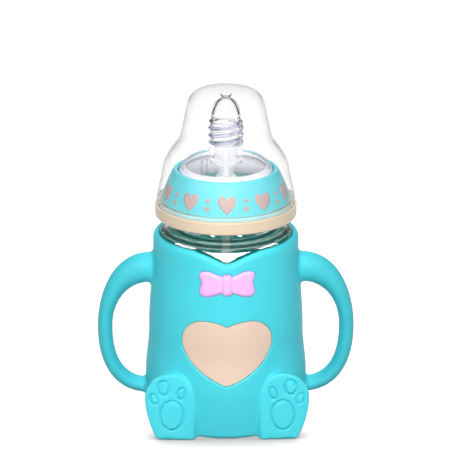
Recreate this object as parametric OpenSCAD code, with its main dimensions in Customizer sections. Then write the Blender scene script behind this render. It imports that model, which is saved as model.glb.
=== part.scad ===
// Wide-neck glass feeding bottle in a silicone sleeve with two handles and two paw-shaped feet.
// A screw collar clamps a ribbed teat on the neck, a clear dust cap covers the teat, and a weighted
// straw hangs from the teat into the glass. Millimetres, +Z up, origin on the table under the bottle,
// front towards -Y.

/* [Glass bottle] */
// Outer radius of the glass body
glass_r = 30.8; // [29:0.1:36]
// Wall of the glass body
glass_wall = 2.4; // [1.6:0.1:3.5]
// Thickness of the glass base
glass_floor = 4; // [2.5:0.1:7]
// Rounding at the foot of the glass
glass_foot_r = 5; // [2:0.5:8]
// Straight height of the glass body
glass_body_h = 86; // [74:1:124]
// Height of the shoulder above the body
shoulder_h = 5.5; // [4.5:0.5:10]
// Rounding where the body turns into the shoulder
shoulder_round = 2.6; // [1.8:0.1:4]
// Angle of that turn
shoulder_turn = 62; // [50:1:75]
// Outer radius of the neck, under the thread
neck_r = 24.6; // [22:0.1:27]
// Wall of the neck
neck_wall = 2.6; // [1.8:0.1:4]
// Bare neck between the shoulder and the ring under the collar
neck_gap = 3.7; // [1:0.1:10]

/* [Screw thread] */
// Rise of the thread in one turn
thread_lead = 4.5; // [4:0.1:6]
// Turns of thread on the neck
thread_turns = 1.5; // [1:0.25:2]
// How far a ridge stands out from its wall
thread_depth = 1.6; // [1:0.1:2]
// Width of a ridge at its wall
thread_base_w = 2.1; // [1.4:0.1:2.2]
// Width of a ridge at its crest
thread_crest_w = 0.9; // [0.5:0.1:1.4]
// Radial play between a crest and the wall it faces
thread_play = 0.7; // [0.4:0.05:1]
// Gap between the flanks that carry the load
thread_flank_gap = 0.35; // [0.2:0.05:0.5]
// Bare neck between the last ridge and the rim
thread_top_gap = 2.75; // [2:0.05:6]
// How far the foot of a ridge is sunk in its wall
ridge_sink = 0.3; // [0.2:0.05:0.5]

/* [Screw collar] */
// Wall of the collar at its skirt
collar_wall = 2.8; // [1.8:0.1:4]
// Bare skirt below the first ridge
collar_margin = 0.75; // [0.5:0.05:3]
// Height of the rounded top above the teat's flange
collar_lip_h = 6.3; // [4:0.1:9]
// Play between the collar's opening and the teat
collar_opening_play = 0.5; // [0.3:0.1:1]
// Rounding on the rim of the opening
collar_lip_r = 0.9; // [0.4:0.1:1.2]

/* [Ring under the collar] */
// Width of the ring outside the collar
ring_w = 3.3; // [2.4:0.1:6]
// Height of the ring
ring_h = 5.9; // [4:0.1:9]
// Thickness of the lip that carries the collar
ring_lip = 1; // [0.8:0.1:2]
// How far that lip reaches in under the collar
ring_lip_w = 2.2; // [1:0.1:2.6]
// Rounding on the ring's outer edges
ring_edge = 0.7; // [0.3:0.1:1.2]
// Play between the ring and the collar's skirt
ring_play = 0.1; // [0.05:0.05:0.3]

/* [Dust cap] */
// How far the cap's foot stands in from the ring's edge
cap_set = 0.7; // [0.3:0.1:1.4]
// Wall of the cap
cap_wall = 1.2; // [1:0.1:2]
// Height of the bead round the cap's foot
cap_bead_h = 1.8; // [1:0.1:4]
// Play between that bead and the collar
cap_bead_play = 0.5; // [0.3:0.05:1]
// How much the wall draws in before the shoulder
cap_draft = 2.3; // [1:0.1:3]
// Height of that wall
cap_wall_h = 14; // [10:0.5:18]
// Radius where the shoulder meets the upper dome
cap_waist_r = 20.8; // [19:0.1:24]
// Height of that meeting above the root of the teat's stem
cap_waist_rise = 10.2; // [6:0.1:13]
// Radius at the foot of the rounded top
cap_dome_r = 18.4; // [15:0.1:20]
// Height of the rounded top
cap_dome_h = 9.6; // [8:0.1:14]
// Free height above the teat
cap_head_gap = 1.7; // [1:0.1:8]

/* [Teat] */
// Thickness of the clamped flange
flange_t = 2; // [1.2:0.1:3]
// How far the flange reaches past the neck
flange_over = 0.4; // [0:0.1:1]
// How far the skirt stands in from the neck's outside
skirt_set = 2.8; // [1.8:0.1:4]
// Wall of the teat
teat_wall = 1.8; // [1.2:0.1:2.4]
// Wall of the tip and of the stem above the connector
tip_wall = 1.1; // [0.8:0.1:1.6]
// Straight height of the skirt
skirt_h = 3.5; // [2.5:0.1:8]
// Height of the wide dome
dome_h = 9.7; // [8:0.1:16]
// Radius of the dome where it meets the stem
dome_top_r = 9.2; // [8.6:0.1:12]
// Height of the thick wall that the connector's flange seats under
seat_t = 2.8; // [2:0.1:4]
// Radius of the stem between its ribs
stem_r = 7.2; // [6.8:0.1:8]
// Width and height of the step at the foot of the stem
stem_step = 0.6; // [0.3:0.1:1]
// Height of the stem
stem_h = 16.5; // [12:0.1:24]
// Radius of the smooth tip
tip_r = 6.7; // [6:0.1:7.2]
// Height of the smooth tip
tip_h = 10.3; // [7:0.1:14]
// Height of the flared lip on the tip
tip_lip_h = 1.4; // [0.8:0.1:3]
// Radius of the flared lip
tip_lip_r = 2.8; // [2:0.1:4]
// Radius of the waist under the flared lip
tip_waist_r = 2; // [1.6:0.1:3]
// Rounding of the flared lip
tip_lip_edge = 0.4; // [0.2:0.1:0.6]
// Radius of the feeding hole
feed_hole_r = 0.4; // [0.3:0.05:0.8]
// Distance between the turns of the two spiral ribs
rib_pitch = 3.5; // [3:0.1:5]
// How far a spiral rib stands out
rib_depth = 0.9; // [0.5:0.1:1.2]
// Width of each of the two ribs of the air vent
vent_rib_w = 0.8; // [0.5:0.1:1.5]
// Distance between the ribs of the air vent
vent_gap = 2.8; // [1.5:0.1:5]
// How far the ribs of the air vent stand in
vent_depth = 1; // [0.5:0.1:2]
// Angle round the teat at which the air vent sits
vent_angle = 120; // [0:5:355]

/* [Straw and weight] */
// Outer radius of the straw
straw_r = 2.4; // [2.1:0.1:3]
// Wall of the straw
straw_wall = 0.8; // [0.5:0.1:1]
// Wall of the socket that holds the straw
socket_wall = 2.2; // [1.2:0.1:3]
// Depth of that socket
socket_depth = 7.3; // [5:0.1:12]
// Outer radius of the connector above the socket
connector_r = 3.5; // [3:0.1:5]
// Height of the connector between socket and flange
connector_h = 6.4; // [3:0.1:6.4]
// Radius of the connector's flange under the teat's stem
connector_flange_r = 7.6; // [6.6:0.1:8]
// Thickness of that flange
connector_flange_t = 1.5; // [1:0.1:2]
// How far the connector's plug goes up the stem
plug_h = 6.6; // [4:0.1:12]
// Radius of the channel through the connector
channel_r = 1.5; // [1:0.1:1.8]
// Bevel on the connector's plug
plug_edge = 0.8; // [0.4:0.1:1.5]
// Play of each push fit on the straw and its fittings
push_play = 0.1; // [0.05:0.05:0.2]
// Outer radius of the weight at the end of the straw
weight_r = 7.5; // [6:0.1:9]
// Wall of the weight's housing
weight_wall = 1.2; // [0.8:0.1:1.8]
// Clear height under the weight
weight_lift = 2.5; // [1:0.1:8]
// Height of the cage with the inlets
cage_h = 6.5; // [5:0.1:10]
// How far the cage plugs into the housing
cage_plug_h = 2.5; // [1.5:0.1:5]
// Width of an inlet in the cage
inlet_w = 2.4; // [1:0.1:3.5]
// Height of the steel weight
steel_h = 6.8; // [4:0.1:16]
// Radius of the hole through the steel weight
steel_hole_r = 2; // [1.2:0.1:3]
// Length of the nipple that holds the straw
nipple_h = 7; // [4:0.1:12]

/* [Sleeve] */
// Play between the sleeve and the glass
sleeve_play = 0.3; // [0.3:0.05:0.5]
// Thickness of the sleeve's floor
sleeve_floor = 3; // [2:0.1:6]
// How far the rim stands above the start of the glass shoulder
rim_over = 1; // [0.5:0.1:4]
// Wall of the sleeve at its rim
rim_wall = 2.9; // [2:0.1:4]
// Height over which the rim is rounded off
rim_round = 3.4; // [2:0.1:6]
// Wall of the sleeve half way up
waist_wall = 5.4; // [4.5:0.1:7]
// Height of that place
waist_z = 42; // [36:0.5:50]
// Wall of the sleeve at its widest
belly_wall = 7.3; // [6:0.1:9]
// Height of the widest place
belly_z = 19; // [12:0.5:26]
// Wall of the sleeve at its foot
foot_wall = 7.2; // [4.5:0.1:8]
// Rounding at the foot
foot_edge = 1.6; // [0.8:0.1:3]
// Depth of the dip in the front of the rim
dip_depth = 5.4; // [2:0.1:8]
// Half width of that dip
dip_half_w = 17.5; // [8:0.1:22]

/* [Handles] */
// How far the middle of the grip stands out from the rim's wall
handle_out = 23.4; // [18:0.1:30]
// How far the handle runs straight out of that wall
handle_run = 2; // [0.5:0.1:4]
// Height of the rim above the upper root
handle_drop = 18.5; // [14:0.1:30]
// Height of the lower root
handle_low_z = 11.5; // [9:0.1:16]
// Half thickness at the upper root
handle_top_t = 7.2; // [5:0.1:9]
// Half thickness at the side and the lower root
handle_t = 3.5; // [2.5:0.1:5]
// Half depth at the upper root
handle_top_d = 6.5; // [5:0.1:9]
// Half depth at the side and the lower root
handle_d = 5; // [3.5:0.1:7]

/* [Paws] */
// Half width of a sole
paw_half_w = 11.7; // [9:0.1:14]
// Height of a paw
paw_h = 31; // [24:0.1:36]
// Distance of a sole's middle from the bottle's middle plane
paw_x = 27; // [24:0.1:32]
// How much wider a paw is on each side where it meets the bottle
paw_flare = 1; // [0:0.1:2]
// How much lower a paw gets for each millimetre behind its sole
paw_sink = 0.3; // [0:0.05:0.5]
// Angle by which each sole leans back
paw_lean = 10; // [0:1:15]
// How far a sole's middle stands in front of the sleeve's widest radius
paw_front = 0.6; // [-1:0.1:4]
// Angle by which each sole turns outwards
paw_splay = 3; // [0:1:20]
// Rounding depth on the edge of a sole
paw_edge = 3; // [1.5:0.1:5]
// How far a pad stands out from the sole
pad_proud = 0.4; // [0.2:0.1:0.8]
// Angle by which each leg turns in behind its sole
paw_turn = 22; // [10:1:30]

/* [Inlays] */
// Width of the heart
heart_w = 41.6; // [28:0.1:44]
// Height of the heart
heart_h = 31.4; // [22:0.1:36]
// Height of the rim above the top of the heart
heart_drop = 32.8; // [30:0.1:38]
// How far the heart's face lies inside the sleeve's surface
heart_inset = 0.3; // [0:0.05:0.8]
// Width of the bow
bow_w = 25.4; // [18:0.1:30]
// Height of the bow
bow_h = 12.6; // [9:0.1:15]
// Height of the rim above the middle of the bow
bow_drop = 15; // [14:0.1:20]
// How far the bow stands out
bow_proud = 0.9; // [0.3:0.1:2]
// Half width of the bow's knot
knot_half_w = 2.3; // [1.5:0.1:4]
// Half height of the bow's knot
knot_half_h = 4.9; // [3.5:0.1:6]
// Bevel on the corners of the knot
knot_edge = 0.7; // [0.3:0.1:1.2]
// How far the knot stands out from the bow
knot_proud = 0.8; // [0.3:0.1:2]
// Depth of the pockets for the inlays
pocket_depth = 1.2; // [0.8:0.1:1.6]
// Gap round an inlay in its pocket
pocket_gap = 0.25; // [0.1:0.05:0.5]
// Bond under an inlay
bond_gap = 0.05; // [0.02:0.01:0.1]

/* [Hidden] */
round_fn = 96;
curve_n = 8;
over = 1;

// Heights of the glass, from the table up
glass_z = sleeve_floor;
glass_top_of_body = glass_z + glass_body_h;
shoulder_z = glass_top_of_body + shoulder_h;
ring_z = shoulder_z + neck_gap;
collar_z = ring_z + ring_lip;
ring_top = ring_z + ring_h;
// The collar's ridge lies under the neck's ridge, with the load gap between their flanks
ridge_offset = thread_base_w / 2 + thread_crest_w / 2 + thread_flank_gap - thread_play
    * (thread_base_w - thread_crest_w) / (2 * thread_depth);
thread_z = collar_z + collar_margin + thread_base_w / 2 + ridge_offset;
rim_z = thread_z + thread_turns * thread_lead + thread_top_gap;
flange_top = rim_z + flange_t;
collar_top = flange_top + collar_lip_h;

// Radii of the collar, its ring and the cap
collar_in_r = neck_r + thread_depth + thread_play;
collar_r = collar_in_r + collar_wall;
skirt_r = neck_r - skirt_set;
opening_r = skirt_r + collar_opening_play;
ring_r = collar_r + ring_w;
cap_r = ring_r - cap_set;

// Heights of the teat and the cap
dome_z = flange_top + skirt_h;
stem_z = dome_z + dome_h;
tip_z = stem_z + stem_h;
tip_top = tip_z + tip_h;
teat_top = tip_top + tip_lip_h;
seat_z = stem_z - seat_t;
cap_top = teat_top + cap_head_gap + cap_wall;
cap_shoulder_z = ring_top + cap_wall_h;
cap_waist_z = stem_z + cap_waist_rise;
cap_dome_z = cap_top - cap_dome_h;
stem_bore_r = stem_r - teat_wall;

// The straw's fittings, from the stem down
plug_r = stem_bore_r - push_play;
connector_flange_z = seat_z - connector_flange_t;
socket_top = connector_flange_z - connector_h;
socket_floor = socket_top - socket_wall / 2;
socket_z = socket_floor - socket_depth;
socket_r = straw_r + push_play;
cage_z = glass_z + glass_floor + weight_lift;
housing_z = cage_z + cage_h;
housing_in_r = weight_r - weight_wall;
steel_z = housing_z + cage_plug_h + push_play;
housing_roof = steel_z + steel_h + push_play;
housing_top = housing_roof + weight_wall;
straw_in_r = straw_r - straw_wall;

// Radii of the sleeve
bore_r = glass_r + sleeve_play;
rim_r = bore_r + rim_wall;
waist_r = bore_r + waist_wall;
belly_r = bore_r + belly_wall;
foot_r = bore_r + foot_wall;
sleeve_top = glass_top_of_body + rim_over;
paw_y = belly_r + paw_front;

// Outlines as chains of curves in units of their half width and height, the heart and the bow as right halves
HEART = [[[0, 0.915], [0.12, 0.972], [0.3, 1], [0.51, 1]], [[0.51, 1], [0.79, 1], [1, 0.845], [1, 0.655]],
    [[1, 0.655], [1, 0.375], [0.53, 0.12], [0, 0]]];
BOW = [[[0, 0.5], [0.2, 0.55], [0.45, 0.88], [0.62, 0.96]], [[0.62, 0.96], [0.82, 1.04], [1, 0.9], [1, 0.62]],
    [[1, 0.62], [1, 0.36], [0.94, 0.3], [0.94, 0.05]], [[0.94, 0.05], [0.94, -0.2], [1, -0.3], [1, -0.58]],
    [[1, -0.58], [1, -0.88], [0.86, -1.05], [0.66, -0.97]],
    [[0.66, -0.97], [0.45, -0.9], [0.2, -0.6], [0, -0.52]]];
PAW = [[[0.48, 0], [0.75, 0.13], [1, 0.42], [1, 0.63]], [[1, 0.63], [1, 0.87], [0.5, 1], [-0.1, 1]],
    [[-0.1, 1], [-0.7, 1], [-1, 0.78], [-1, 0.47]], [[-1, 0.47], [-1, 0.27], [-0.98, 0.1], [-0.94, 0]]];
// Pads of a sole in the same units: place outward and up, half width, half height, and angle turned
PADS = [[-0.094, 0.376, 0.453, 0.221, 0], [0.231, 0.793, 0.222, 0.103, 0], [0.615, 0.624, 0.128, 0.079, -24],
    [-0.462, 0.71, 0.137, 0.083, 6]];

function smooth(t) = let(s = min(1, max(0, t))) s * s * (3 - 2 * s);
function bezier(p, t) = p[0] * pow(1 - t, 3) + p[1] * 3 * t * pow(1 - t, 2) + p[2] * 3 * t * t * (1 - t)
    + p[3] * pow(t, 3);
function curve(p, n = curve_n) = [for (i = [0:n]) bezier(p, i / n)];
function tail(list) = [for (i = [1:len(list) - 1]) list[i]];
function backwards(list) = [for (i = [len(list) - 1:-1:0]) list[i]];
function arc(c, r, from, to, n = 5) = [for (i = [0:n]) let(a = from + (to - from) * i / n)
    c + r * [cos(a), sin(a)]];
function outline(beziers) = [for (i = [0:len(beziers) - 1]) each (i == 0 ? curve(beziers[i])
    : tail(curve(beziers[i])))];
function power(v, p) = sign(v) * pow(abs(v), p);

// Outer radius of the sleeve at height z: foot, belly, waist and rim joined by smooth steps
function sleeve_r(z) =
    z < belly_z ? foot_r + (belly_r - foot_r) * smooth(z / belly_z)
    : z < waist_z ? belly_r + (waist_r - belly_r) * smooth((z - belly_z) / (waist_z - belly_z))
    : waist_r + (rim_r - waist_r) * smooth((z - waist_z) / (sleeve_top - rim_round - waist_z));

// A solid skinned over rings of points, each ring with as many points as the next
module skin(rings) {
    n = len(rings[0]);
    last = (len(rings) - 1) * n;
    sides = [for (i = [0:len(rings) - 2]) for (j = [0:n - 1]) let(a = i * n + j, b = i * n + (j + 1) % n)
        each [[a, b, a + n], [b, b + n, a + n]]];
    first_end = [for (j = [1:n - 2]) [0, j + 1, j]];
    last_end = [for (j = [1:n - 2]) [last, last + j, last + j + 1]];
    points = [for (ring = rings) each ring];
    polyhedron(points, concat(sides, first_end, last_end), convexity = 8);
}

// A right-hand ridge that climbs round the axis and fades out at both ends
module spiral_ridge(wall_r, crest_r, lead, turns, base_w, crest_w, steps = 32, fade = 0.12) {
    n = ceil(turns * steps);
    flip = wall_r > crest_r;
    root_r = wall_r + (flip ? ridge_sink : -ridge_sink);
    skin([for (i = [0:n]) let(
            u = turns * i / n,
            rise = max(0.1, smooth(min(u, turns - u) / fade)),
            top_r = wall_r + (crest_r - wall_r) * rise,
            low = [[root_r, -base_w / 2], [top_r, -crest_w / 2]],
            section = concat(low, [for (p = backwards(low)) [p.x, -p.y]]))
        [for (p = flip ? backwards(section) : section)
            [p.x * cos(360 * u), p.x * sin(360 * u), p.y + lead * u]]]);
}

// A solid of revolution from a closed outline of [radius, height]
module turned(outline) {
    rotate_extrude($fn = round_fn) polygon(outline);
}

// A half outline in X and Z with its mirror image, swept from the axis to the front
module front_prism(half, depth) {
    both = concat(half, [for (p = backwards(half)) if (p.x > 0.001) [-p.x, p.y]]);
    rotate([90, 0, 0]) linear_extrude(depth) polygon(both);
}

function heart_half(grow) = [for (p = outline(HEART)) [max(0, p.x * (heart_w / 2 + grow)),
    sleeve_top - heart_drop - heart_h / 2 + (p.y - 0.5) * (heart_h + 2 * grow)]];
function bow_half(grow) = [for (p = outline(BOW)) [p.x * (bow_w / 2 + grow),
    sleeve_top - bow_drop + p.y * (bow_h / 2 + grow)]];
function knot_half(grow) = let(z = sleeve_top - bow_drop, w = knot_half_w + grow, h = knot_half_h + grow)
    [[0, z + h], [w - knot_edge, z + h], [w, z + h - knot_edge],
    [w, z - h + knot_edge], [w - knot_edge, z - h], [0, z - h]];
heart_floor_r = sleeve_r(sleeve_top - heart_drop) - pocket_depth;
bow_floor_r = sleeve_r(sleeve_top - bow_drop + bow_h / 2) - pocket_depth;

// What of its children lies outside a round core on the axis
module outside(core_r) {
    difference() {
        union() children();
        translate([0, 0, -over]) cylinder(r = core_r, h = sleeve_top + 2 * over, $fn = round_fn);
    }
}

// The sleeve's outer surface moved out by grow, as a solid between two heights
module sleeve_skin(grow, from, to, n = 14) {
    turned(concat([[0, from]], [for (i = [0:n]) let(z = from + (to - from) * i / n) [sleeve_r(z) + grow, z]],
        [[0, to]]));
}

module sleeve_body() {
    rim_base = sleeve_top - rim_round;
    sides = [for (z = [foot_edge:(rim_base - foot_edge) / 26:rim_base - 0.1]) [sleeve_r(z), z]];
    foot = arc([sleeve_r(foot_edge) - foot_edge, foot_edge], foot_edge, -90, -10, 3);
    rim = [for (a = [0:15:90]) [rim_r - rim_wall * 0.7 * (1 - cos(a)), rim_base + rim_round * sin(a)]];
    turned(concat([[0, 0]], foot, sides, rim, [[0, sleeve_top]]));
}

// One handle on the +X side: a tapering loop in the XZ plane whose ends are sunk in the sleeve's wall
module handle() {
    root_x = bore_r + rim_wall / 4;
    mid_x = rim_r + handle_run;
    top_z = sleeve_top - handle_drop;
    mid_z = (top_z + handle_low_z) / 2;
    half_z = (top_z - handle_low_z) / 2;
    reach = handle_out - handle_run;
    steps = 22;
    function shape(a) = let(p = a > 0 ? 1 : 0.84)
        [mid_x + reach * pow(abs(cos(a)), p), mid_z + half_z * power(sin(a), p)];
    bend = [for (i = [0:steps]) shape(90 - 180 * i / steps)];
    path = concat([[root_x, top_z]], bend, [[root_x, handle_low_z]]);
    last = len(path) - 1;
    skin([for (i = [0:last]) let(
            along = path[min(last, i + 1)] - path[max(0, i - 1)],
            out = [-along.y, along.x] / norm(along),
            up = max(0, (path[i].y - mid_z) / half_z),
            t = handle_t + (handle_top_t - handle_t) * pow(up, 2.5),
            d = handle_d + (handle_top_d - handle_d) * pow(up, 2))
        [for (k = [0:15]) let(
                a = 360 * k / 16,
                s = t * cos(a),
                y = d * sin(a))
            [path[i].x + out.x * s, y, path[i].y + out.y * s]]]);
}

// The outline of a paw drawn in at its top and sides by inset, at a depth behind the sole
function paw_ring(inset, depth) = [for (p = outline(PAW)) let(z = p.y * (paw_h - inset - depth * paw_sink))
    [p.x * (paw_half_w - inset) - depth * tan(paw_turn), depth + z * tan(paw_lean), z]];

// One paw on the +X side, with its sole forward and the pads raised on it
module paw() {
    translate([paw_x, -paw_y, 0]) rotate([0, 0, paw_splay]) {
        skin([paw_ring(paw_edge * 0.7, 0), paw_ring(paw_edge * 0.2, paw_edge * 0.35), paw_ring(0, paw_edge),
            paw_ring(-paw_flare, belly_wall + paw_half_w)]);
        rotate([90 - paw_lean, 0, 0]) for (pad = PADS)
            translate([pad[0] * paw_half_w, pad[1] * paw_h, -pad_proud]) rotate([0, 0, pad[4]])
                linear_extrude(2 * pad_proud)
                    polygon([for (a = [0:18:342]) [pad[2] * paw_half_w * cos(a), pad[3] * paw_h * sin(a)]]);
    }
}

// The dip in the front of the rim: steep in the middle, where it is rounded, and flat at its ends
module rim_dip() {
    n = 14;
    soft = 0.09;
    function run(u) = sqrt(u * u + soft * soft) - soft;
    function depth(u) = dip_depth * pow(1 - run(u) / run(1), 1.6);
    half = [for (i = [0:n]) [dip_half_w * i / n, sleeve_top - depth(i / n)]];
    front_prism(concat(half, [[dip_half_w, sleeve_top + over], [0, sleeve_top + over]]), rim_r + over);
}

module silicone_sleeve() {
    color("#59d8e6") difference() {
        union() {
            sleeve_body();
            for (side = [0, 1]) mirror([side, 0, 0]) {
                handle();
                paw();
            }
        }
        translate([0, 0, sleeve_floor]) cylinder(r = bore_r, h = sleeve_top, $fn = round_fn);
        rim_dip();
        outside(heart_floor_r) front_prism(heart_half(0), paw_y + over);
        outside(bow_floor_r) {
            front_prism(bow_half(0), belly_r);
            front_prism(knot_half(0), belly_r);
        }
    }
}

module heart_inlay() {
    top = sleeve_top - heart_drop;
    color("#f1d5c0") outside(heart_floor_r + bond_gap) intersection() {
        front_prism(heart_half(-pocket_gap), belly_r + over);
        sleeve_skin(-heart_inset, top - heart_h - over, top + over);
    }
}

module bow_tie() {
    mid = sleeve_top - bow_drop;
    color("#fdc7fb") outside(bow_floor_r + bond_gap) {
        intersection() {
            front_prism(bow_half(-pocket_gap), belly_r + over);
            sleeve_skin(bow_proud, mid - bow_h, mid + bow_h, 8);
        }
        intersection() {
            front_prism(knot_half(-pocket_gap), belly_r + over);
            sleeve_skin(bow_proud + knot_proud, mid - bow_h, mid + bow_h, 8);
        }
    }
}

module glass_bottle() {
    in_r = glass_r - glass_wall;
    neck_in_r = neck_r - neck_wall;
    in_foot = max(1, glass_foot_r - glass_wall / 2);
    in_z = glass_z + glass_floor;
    function shoulder(r, top_r, base, round, top) = let(
            turn = arc([r - round, base], round, 0, shoulder_turn),
            last = turn[len(turn) - 1],
            run = min((last.x - top_r) * 0.6, (top - last.y) * 0.8 / cos(shoulder_turn)))
        concat(turn, tail(curve([last, last + run * [-sin(shoulder_turn), cos(shoulder_turn)],
            [top_r, top - (top - last.y) * 0.3], [top_r, top]])));
    foot = arc([glass_r - glass_foot_r, glass_z + glass_foot_r], glass_foot_r, -90, 0);
    inside = concat(arc([in_r - in_foot, in_z + in_foot], in_foot, -90, 0),
        shoulder(in_r, neck_in_r, glass_top_of_body - glass_wall / 2,
            max(0.4, shoulder_round - glass_wall / 2), shoulder_z - glass_wall * 0.6));
    color("#dfeeee", 0.4) union() {
        turned(concat([[0, glass_z]], foot,
            shoulder(glass_r, neck_r, glass_top_of_body, shoulder_round, shoulder_z),
            [[neck_r, rim_z], [neck_in_r, rim_z]], backwards(inside), [[0, in_z]]));
        translate([0, 0, thread_z])
            spiral_ridge(neck_r, neck_r + thread_depth, thread_lead, thread_turns, thread_base_w,
                thread_crest_w);
    }
}

module screw_collar() {
    lip_r = min(collar_lip_r, collar_lip_h / 3);
    outer_lip = opening_r + 2 * lip_r;
    rise = collar_top - ring_top;
    draw = collar_r - outer_lip;
    side = curve([[collar_r, ring_top], [collar_r - draw * 0.04, ring_top + rise * 0.36],
        [outer_lip + draw * 0.33, collar_top - rise * 0.2], [outer_lip, collar_top - lip_r * 0.4]]);
    color("#83dce4") union() {
        turned(concat([[collar_in_r, collar_z], [collar_r, collar_z]], side,
            arc([opening_r + lip_r, collar_top - lip_r], lip_r, 65, 180),
            [[opening_r, flange_top], [collar_in_r, flange_top]]));
        translate([0, 0, thread_z - ridge_offset])
            spiral_ridge(collar_in_r, neck_r + thread_play, thread_lead, thread_turns * 0.75, thread_base_w,
                thread_crest_w);
    }
}

module collar_base_ring() {
    in_r = collar_r + ring_play;
    lip_in_r = collar_r - ring_lip_w;
    color("#ebd7bc") turned(concat([[lip_in_r, ring_z]],
        arc([ring_r - ring_edge, ring_z + ring_edge], ring_edge, -90, 0),
        arc([ring_r - ring_edge, ring_top - ring_edge], ring_edge, 0, 90),
        [[in_r, ring_top], [in_r, collar_z], [lip_in_r, collar_z]]));
}

module teat() {
    in_r = skirt_r - teat_wall;
    flange_r = neck_r + flange_over;
    spread = skirt_r - dome_top_r;
    dome = curve([[skirt_r, dome_z], [skirt_r, dome_z + dome_h * 0.66],
        [dome_top_r + spread * 0.5, stem_z - dome_h * 0.15], [dome_top_r, stem_z]]);
    in_dome = curve([[connector_flange_r + stem_step, seat_z],
        [dome_top_r + spread * 0.4, seat_z - dome_h * 0.07],
        [in_r, dome_z + dome_h * 0.5], [in_r, dome_z]]);
    wide_bore_r = stem_r - tip_wall;
    plug_end = seat_z + plug_h + stem_step;
    tip = [for (a = [0:10:70]) [tip_r * cos(a), tip_z + tip_h * 0.25 + tip_h * 0.75 * sin(a)]];
    in_tip = [for (a = [80:-10:0]) [(tip_r - tip_wall) * cos(a), tip_z + (tip_h - tip_wall) * sin(a)]];
    color("#ded8ea", 0.5) union() {
        turned(concat([[in_r, rim_z], [flange_r, rim_z], [flange_r, flange_top], [skirt_r, flange_top]],
            dome, [[stem_r + stem_step, stem_z + stem_step], [stem_r, stem_z + 2 * stem_step],
            [stem_r, tip_z - stem_step], [tip_r, tip_z]], tip,
            [[tip_waist_r, tip_top], [tip_lip_r, teat_top - tip_lip_edge],
            [tip_lip_r - tip_lip_edge, teat_top], [feed_hole_r + tip_lip_edge, teat_top - tip_lip_edge],
            [feed_hole_r, tip_top], [feed_hole_r, tip_top - tip_wall]], in_tip,
            [[wide_bore_r, tip_z - tip_wall], [wide_bore_r, plug_end + tip_wall], [stem_bore_r, plug_end],
            [stem_bore_r, seat_z]], in_dome));
        for (start = [0, 180]) rotate([0, 0, start]) translate([0, 0, stem_z + rib_pitch / 2])
            spiral_ridge(stem_r, stem_r + rib_depth, rib_pitch * 2, (stem_h / rib_pitch - 1) / 2,
                rib_pitch * 0.6, rib_pitch * 0.3, 28);
        for (side = [-1, 1]) rotate([0, 0, vent_angle])
            translate([in_r - vent_depth, side * vent_gap / 2 - vent_rib_w / 2, rim_z])
                cube([vent_depth + teat_wall / 2, vent_rib_w, flange_t + skirt_h]);
    }
}

module straw_connector() {
    out_r = socket_r + socket_wall;
    plug_top = seat_z + plug_h;
    color("#f3f1ec", 0.7) turned([[socket_r, socket_z], [out_r, socket_z], [out_r, socket_top],
        [connector_r, socket_top], [connector_r, connector_flange_z],
        [connector_flange_r, connector_flange_z], [connector_flange_r, seat_z], [plug_r, seat_z],
        [plug_r, plug_top - plug_edge], [plug_r - plug_edge, plug_top], [channel_r, plug_top],
        [channel_r, socket_floor], [socket_r, socket_floor]]);
}

module straw_tube() {
    color("#eef3f2", 0.6) difference() {
        translate([0, 0, housing_top]) cylinder(r = straw_r, h = socket_floor - housing_top, $fn = round_fn);
        translate([0, 0, housing_top - over]) cylinder(r = straw_in_r, h = sleeve_top * 2, $fn = round_fn);
    }
}

module weight_housing() {
    nipple_r = straw_in_r - push_play;
    edge = weight_wall * 0.8;
    color("#f3f1ec") turned([[housing_in_r, housing_z], [weight_r, housing_z], [weight_r, housing_roof],
        [weight_r - edge, housing_top], [nipple_r, housing_top], [nipple_r, housing_top + nipple_h],
        [nipple_r / 2, housing_top + nipple_h], [nipple_r / 2, housing_roof], [housing_in_r, housing_roof]]);
}

module weight_cage() {
    plug_out_r = housing_in_r - push_play;
    plug_in_r = plug_out_r - weight_wall;
    plug_top = housing_z + cage_plug_h;
    floor_z = cage_z + weight_wall;
    color("#f3f1ec") difference() {
        turned([[0, cage_z], [weight_r - weight_wall, cage_z], [weight_r, floor_z], [weight_r, housing_z],
            [plug_out_r, housing_z], [plug_out_r, plug_top], [plug_in_r, plug_top], [plug_in_r, floor_z],
            [0, floor_z]]);
        for (turn = [0, 90]) rotate([0, 0, turn])
            translate([-weight_r - over, -inlet_w / 2, floor_z])
                cube([2 * (weight_r + over), inlet_w, cage_h / 2]);
    }
}

module steel_weight() {
    color("#b9bcc0") difference() {
        translate([0, 0, steel_z]) cylinder(r = housing_in_r - push_play, h = steel_h, $fn = round_fn);
        translate([0, 0, steel_z - over]) cylinder(r = steel_hole_r, h = steel_h + 2 * over, $fn = round_fn);
    }
}

// The cap's wall drawn in by inset: drafted foot, bell that runs into the lean of the upper part, rounded top
function cap_wall_line(inset, base) = let(
        foot_r = cap_r - inset,
        shoulder_r = foot_r - cap_draft,
        waist_r = cap_waist_r - inset,
        waist_z = cap_waist_z - inset / 2,
        rise = waist_z - cap_shoulder_z,
        lean = (cap_waist_r - cap_dome_r) / (cap_dome_z - cap_waist_z),
        roundness = 3.5)
    concat(
        curve([[foot_r, base], [foot_r - cap_draft * 0.1, base + cap_wall_h * 0.4],
            [shoulder_r + cap_draft * 0.3, cap_shoulder_z - cap_wall_h * 0.3], [shoulder_r, cap_shoulder_z]]),
        tail(curve([[shoulder_r, cap_shoulder_z],
            [shoulder_r - cap_draft * 0.75, cap_shoulder_z + rise * 0.59],
            [waist_r + lean * rise * 0.32, waist_z - rise * 0.32], [waist_r, waist_z]], 12)),
        [for (a = [0:9:90]) let(h = cap_dome_h - inset, t = sin(a))
            [(cap_dome_r - inset - lean * h * t) * pow(max(0, 1 - pow(t, roundness)), 1 / roundness),
            cap_dome_z + h * t]]);

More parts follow.
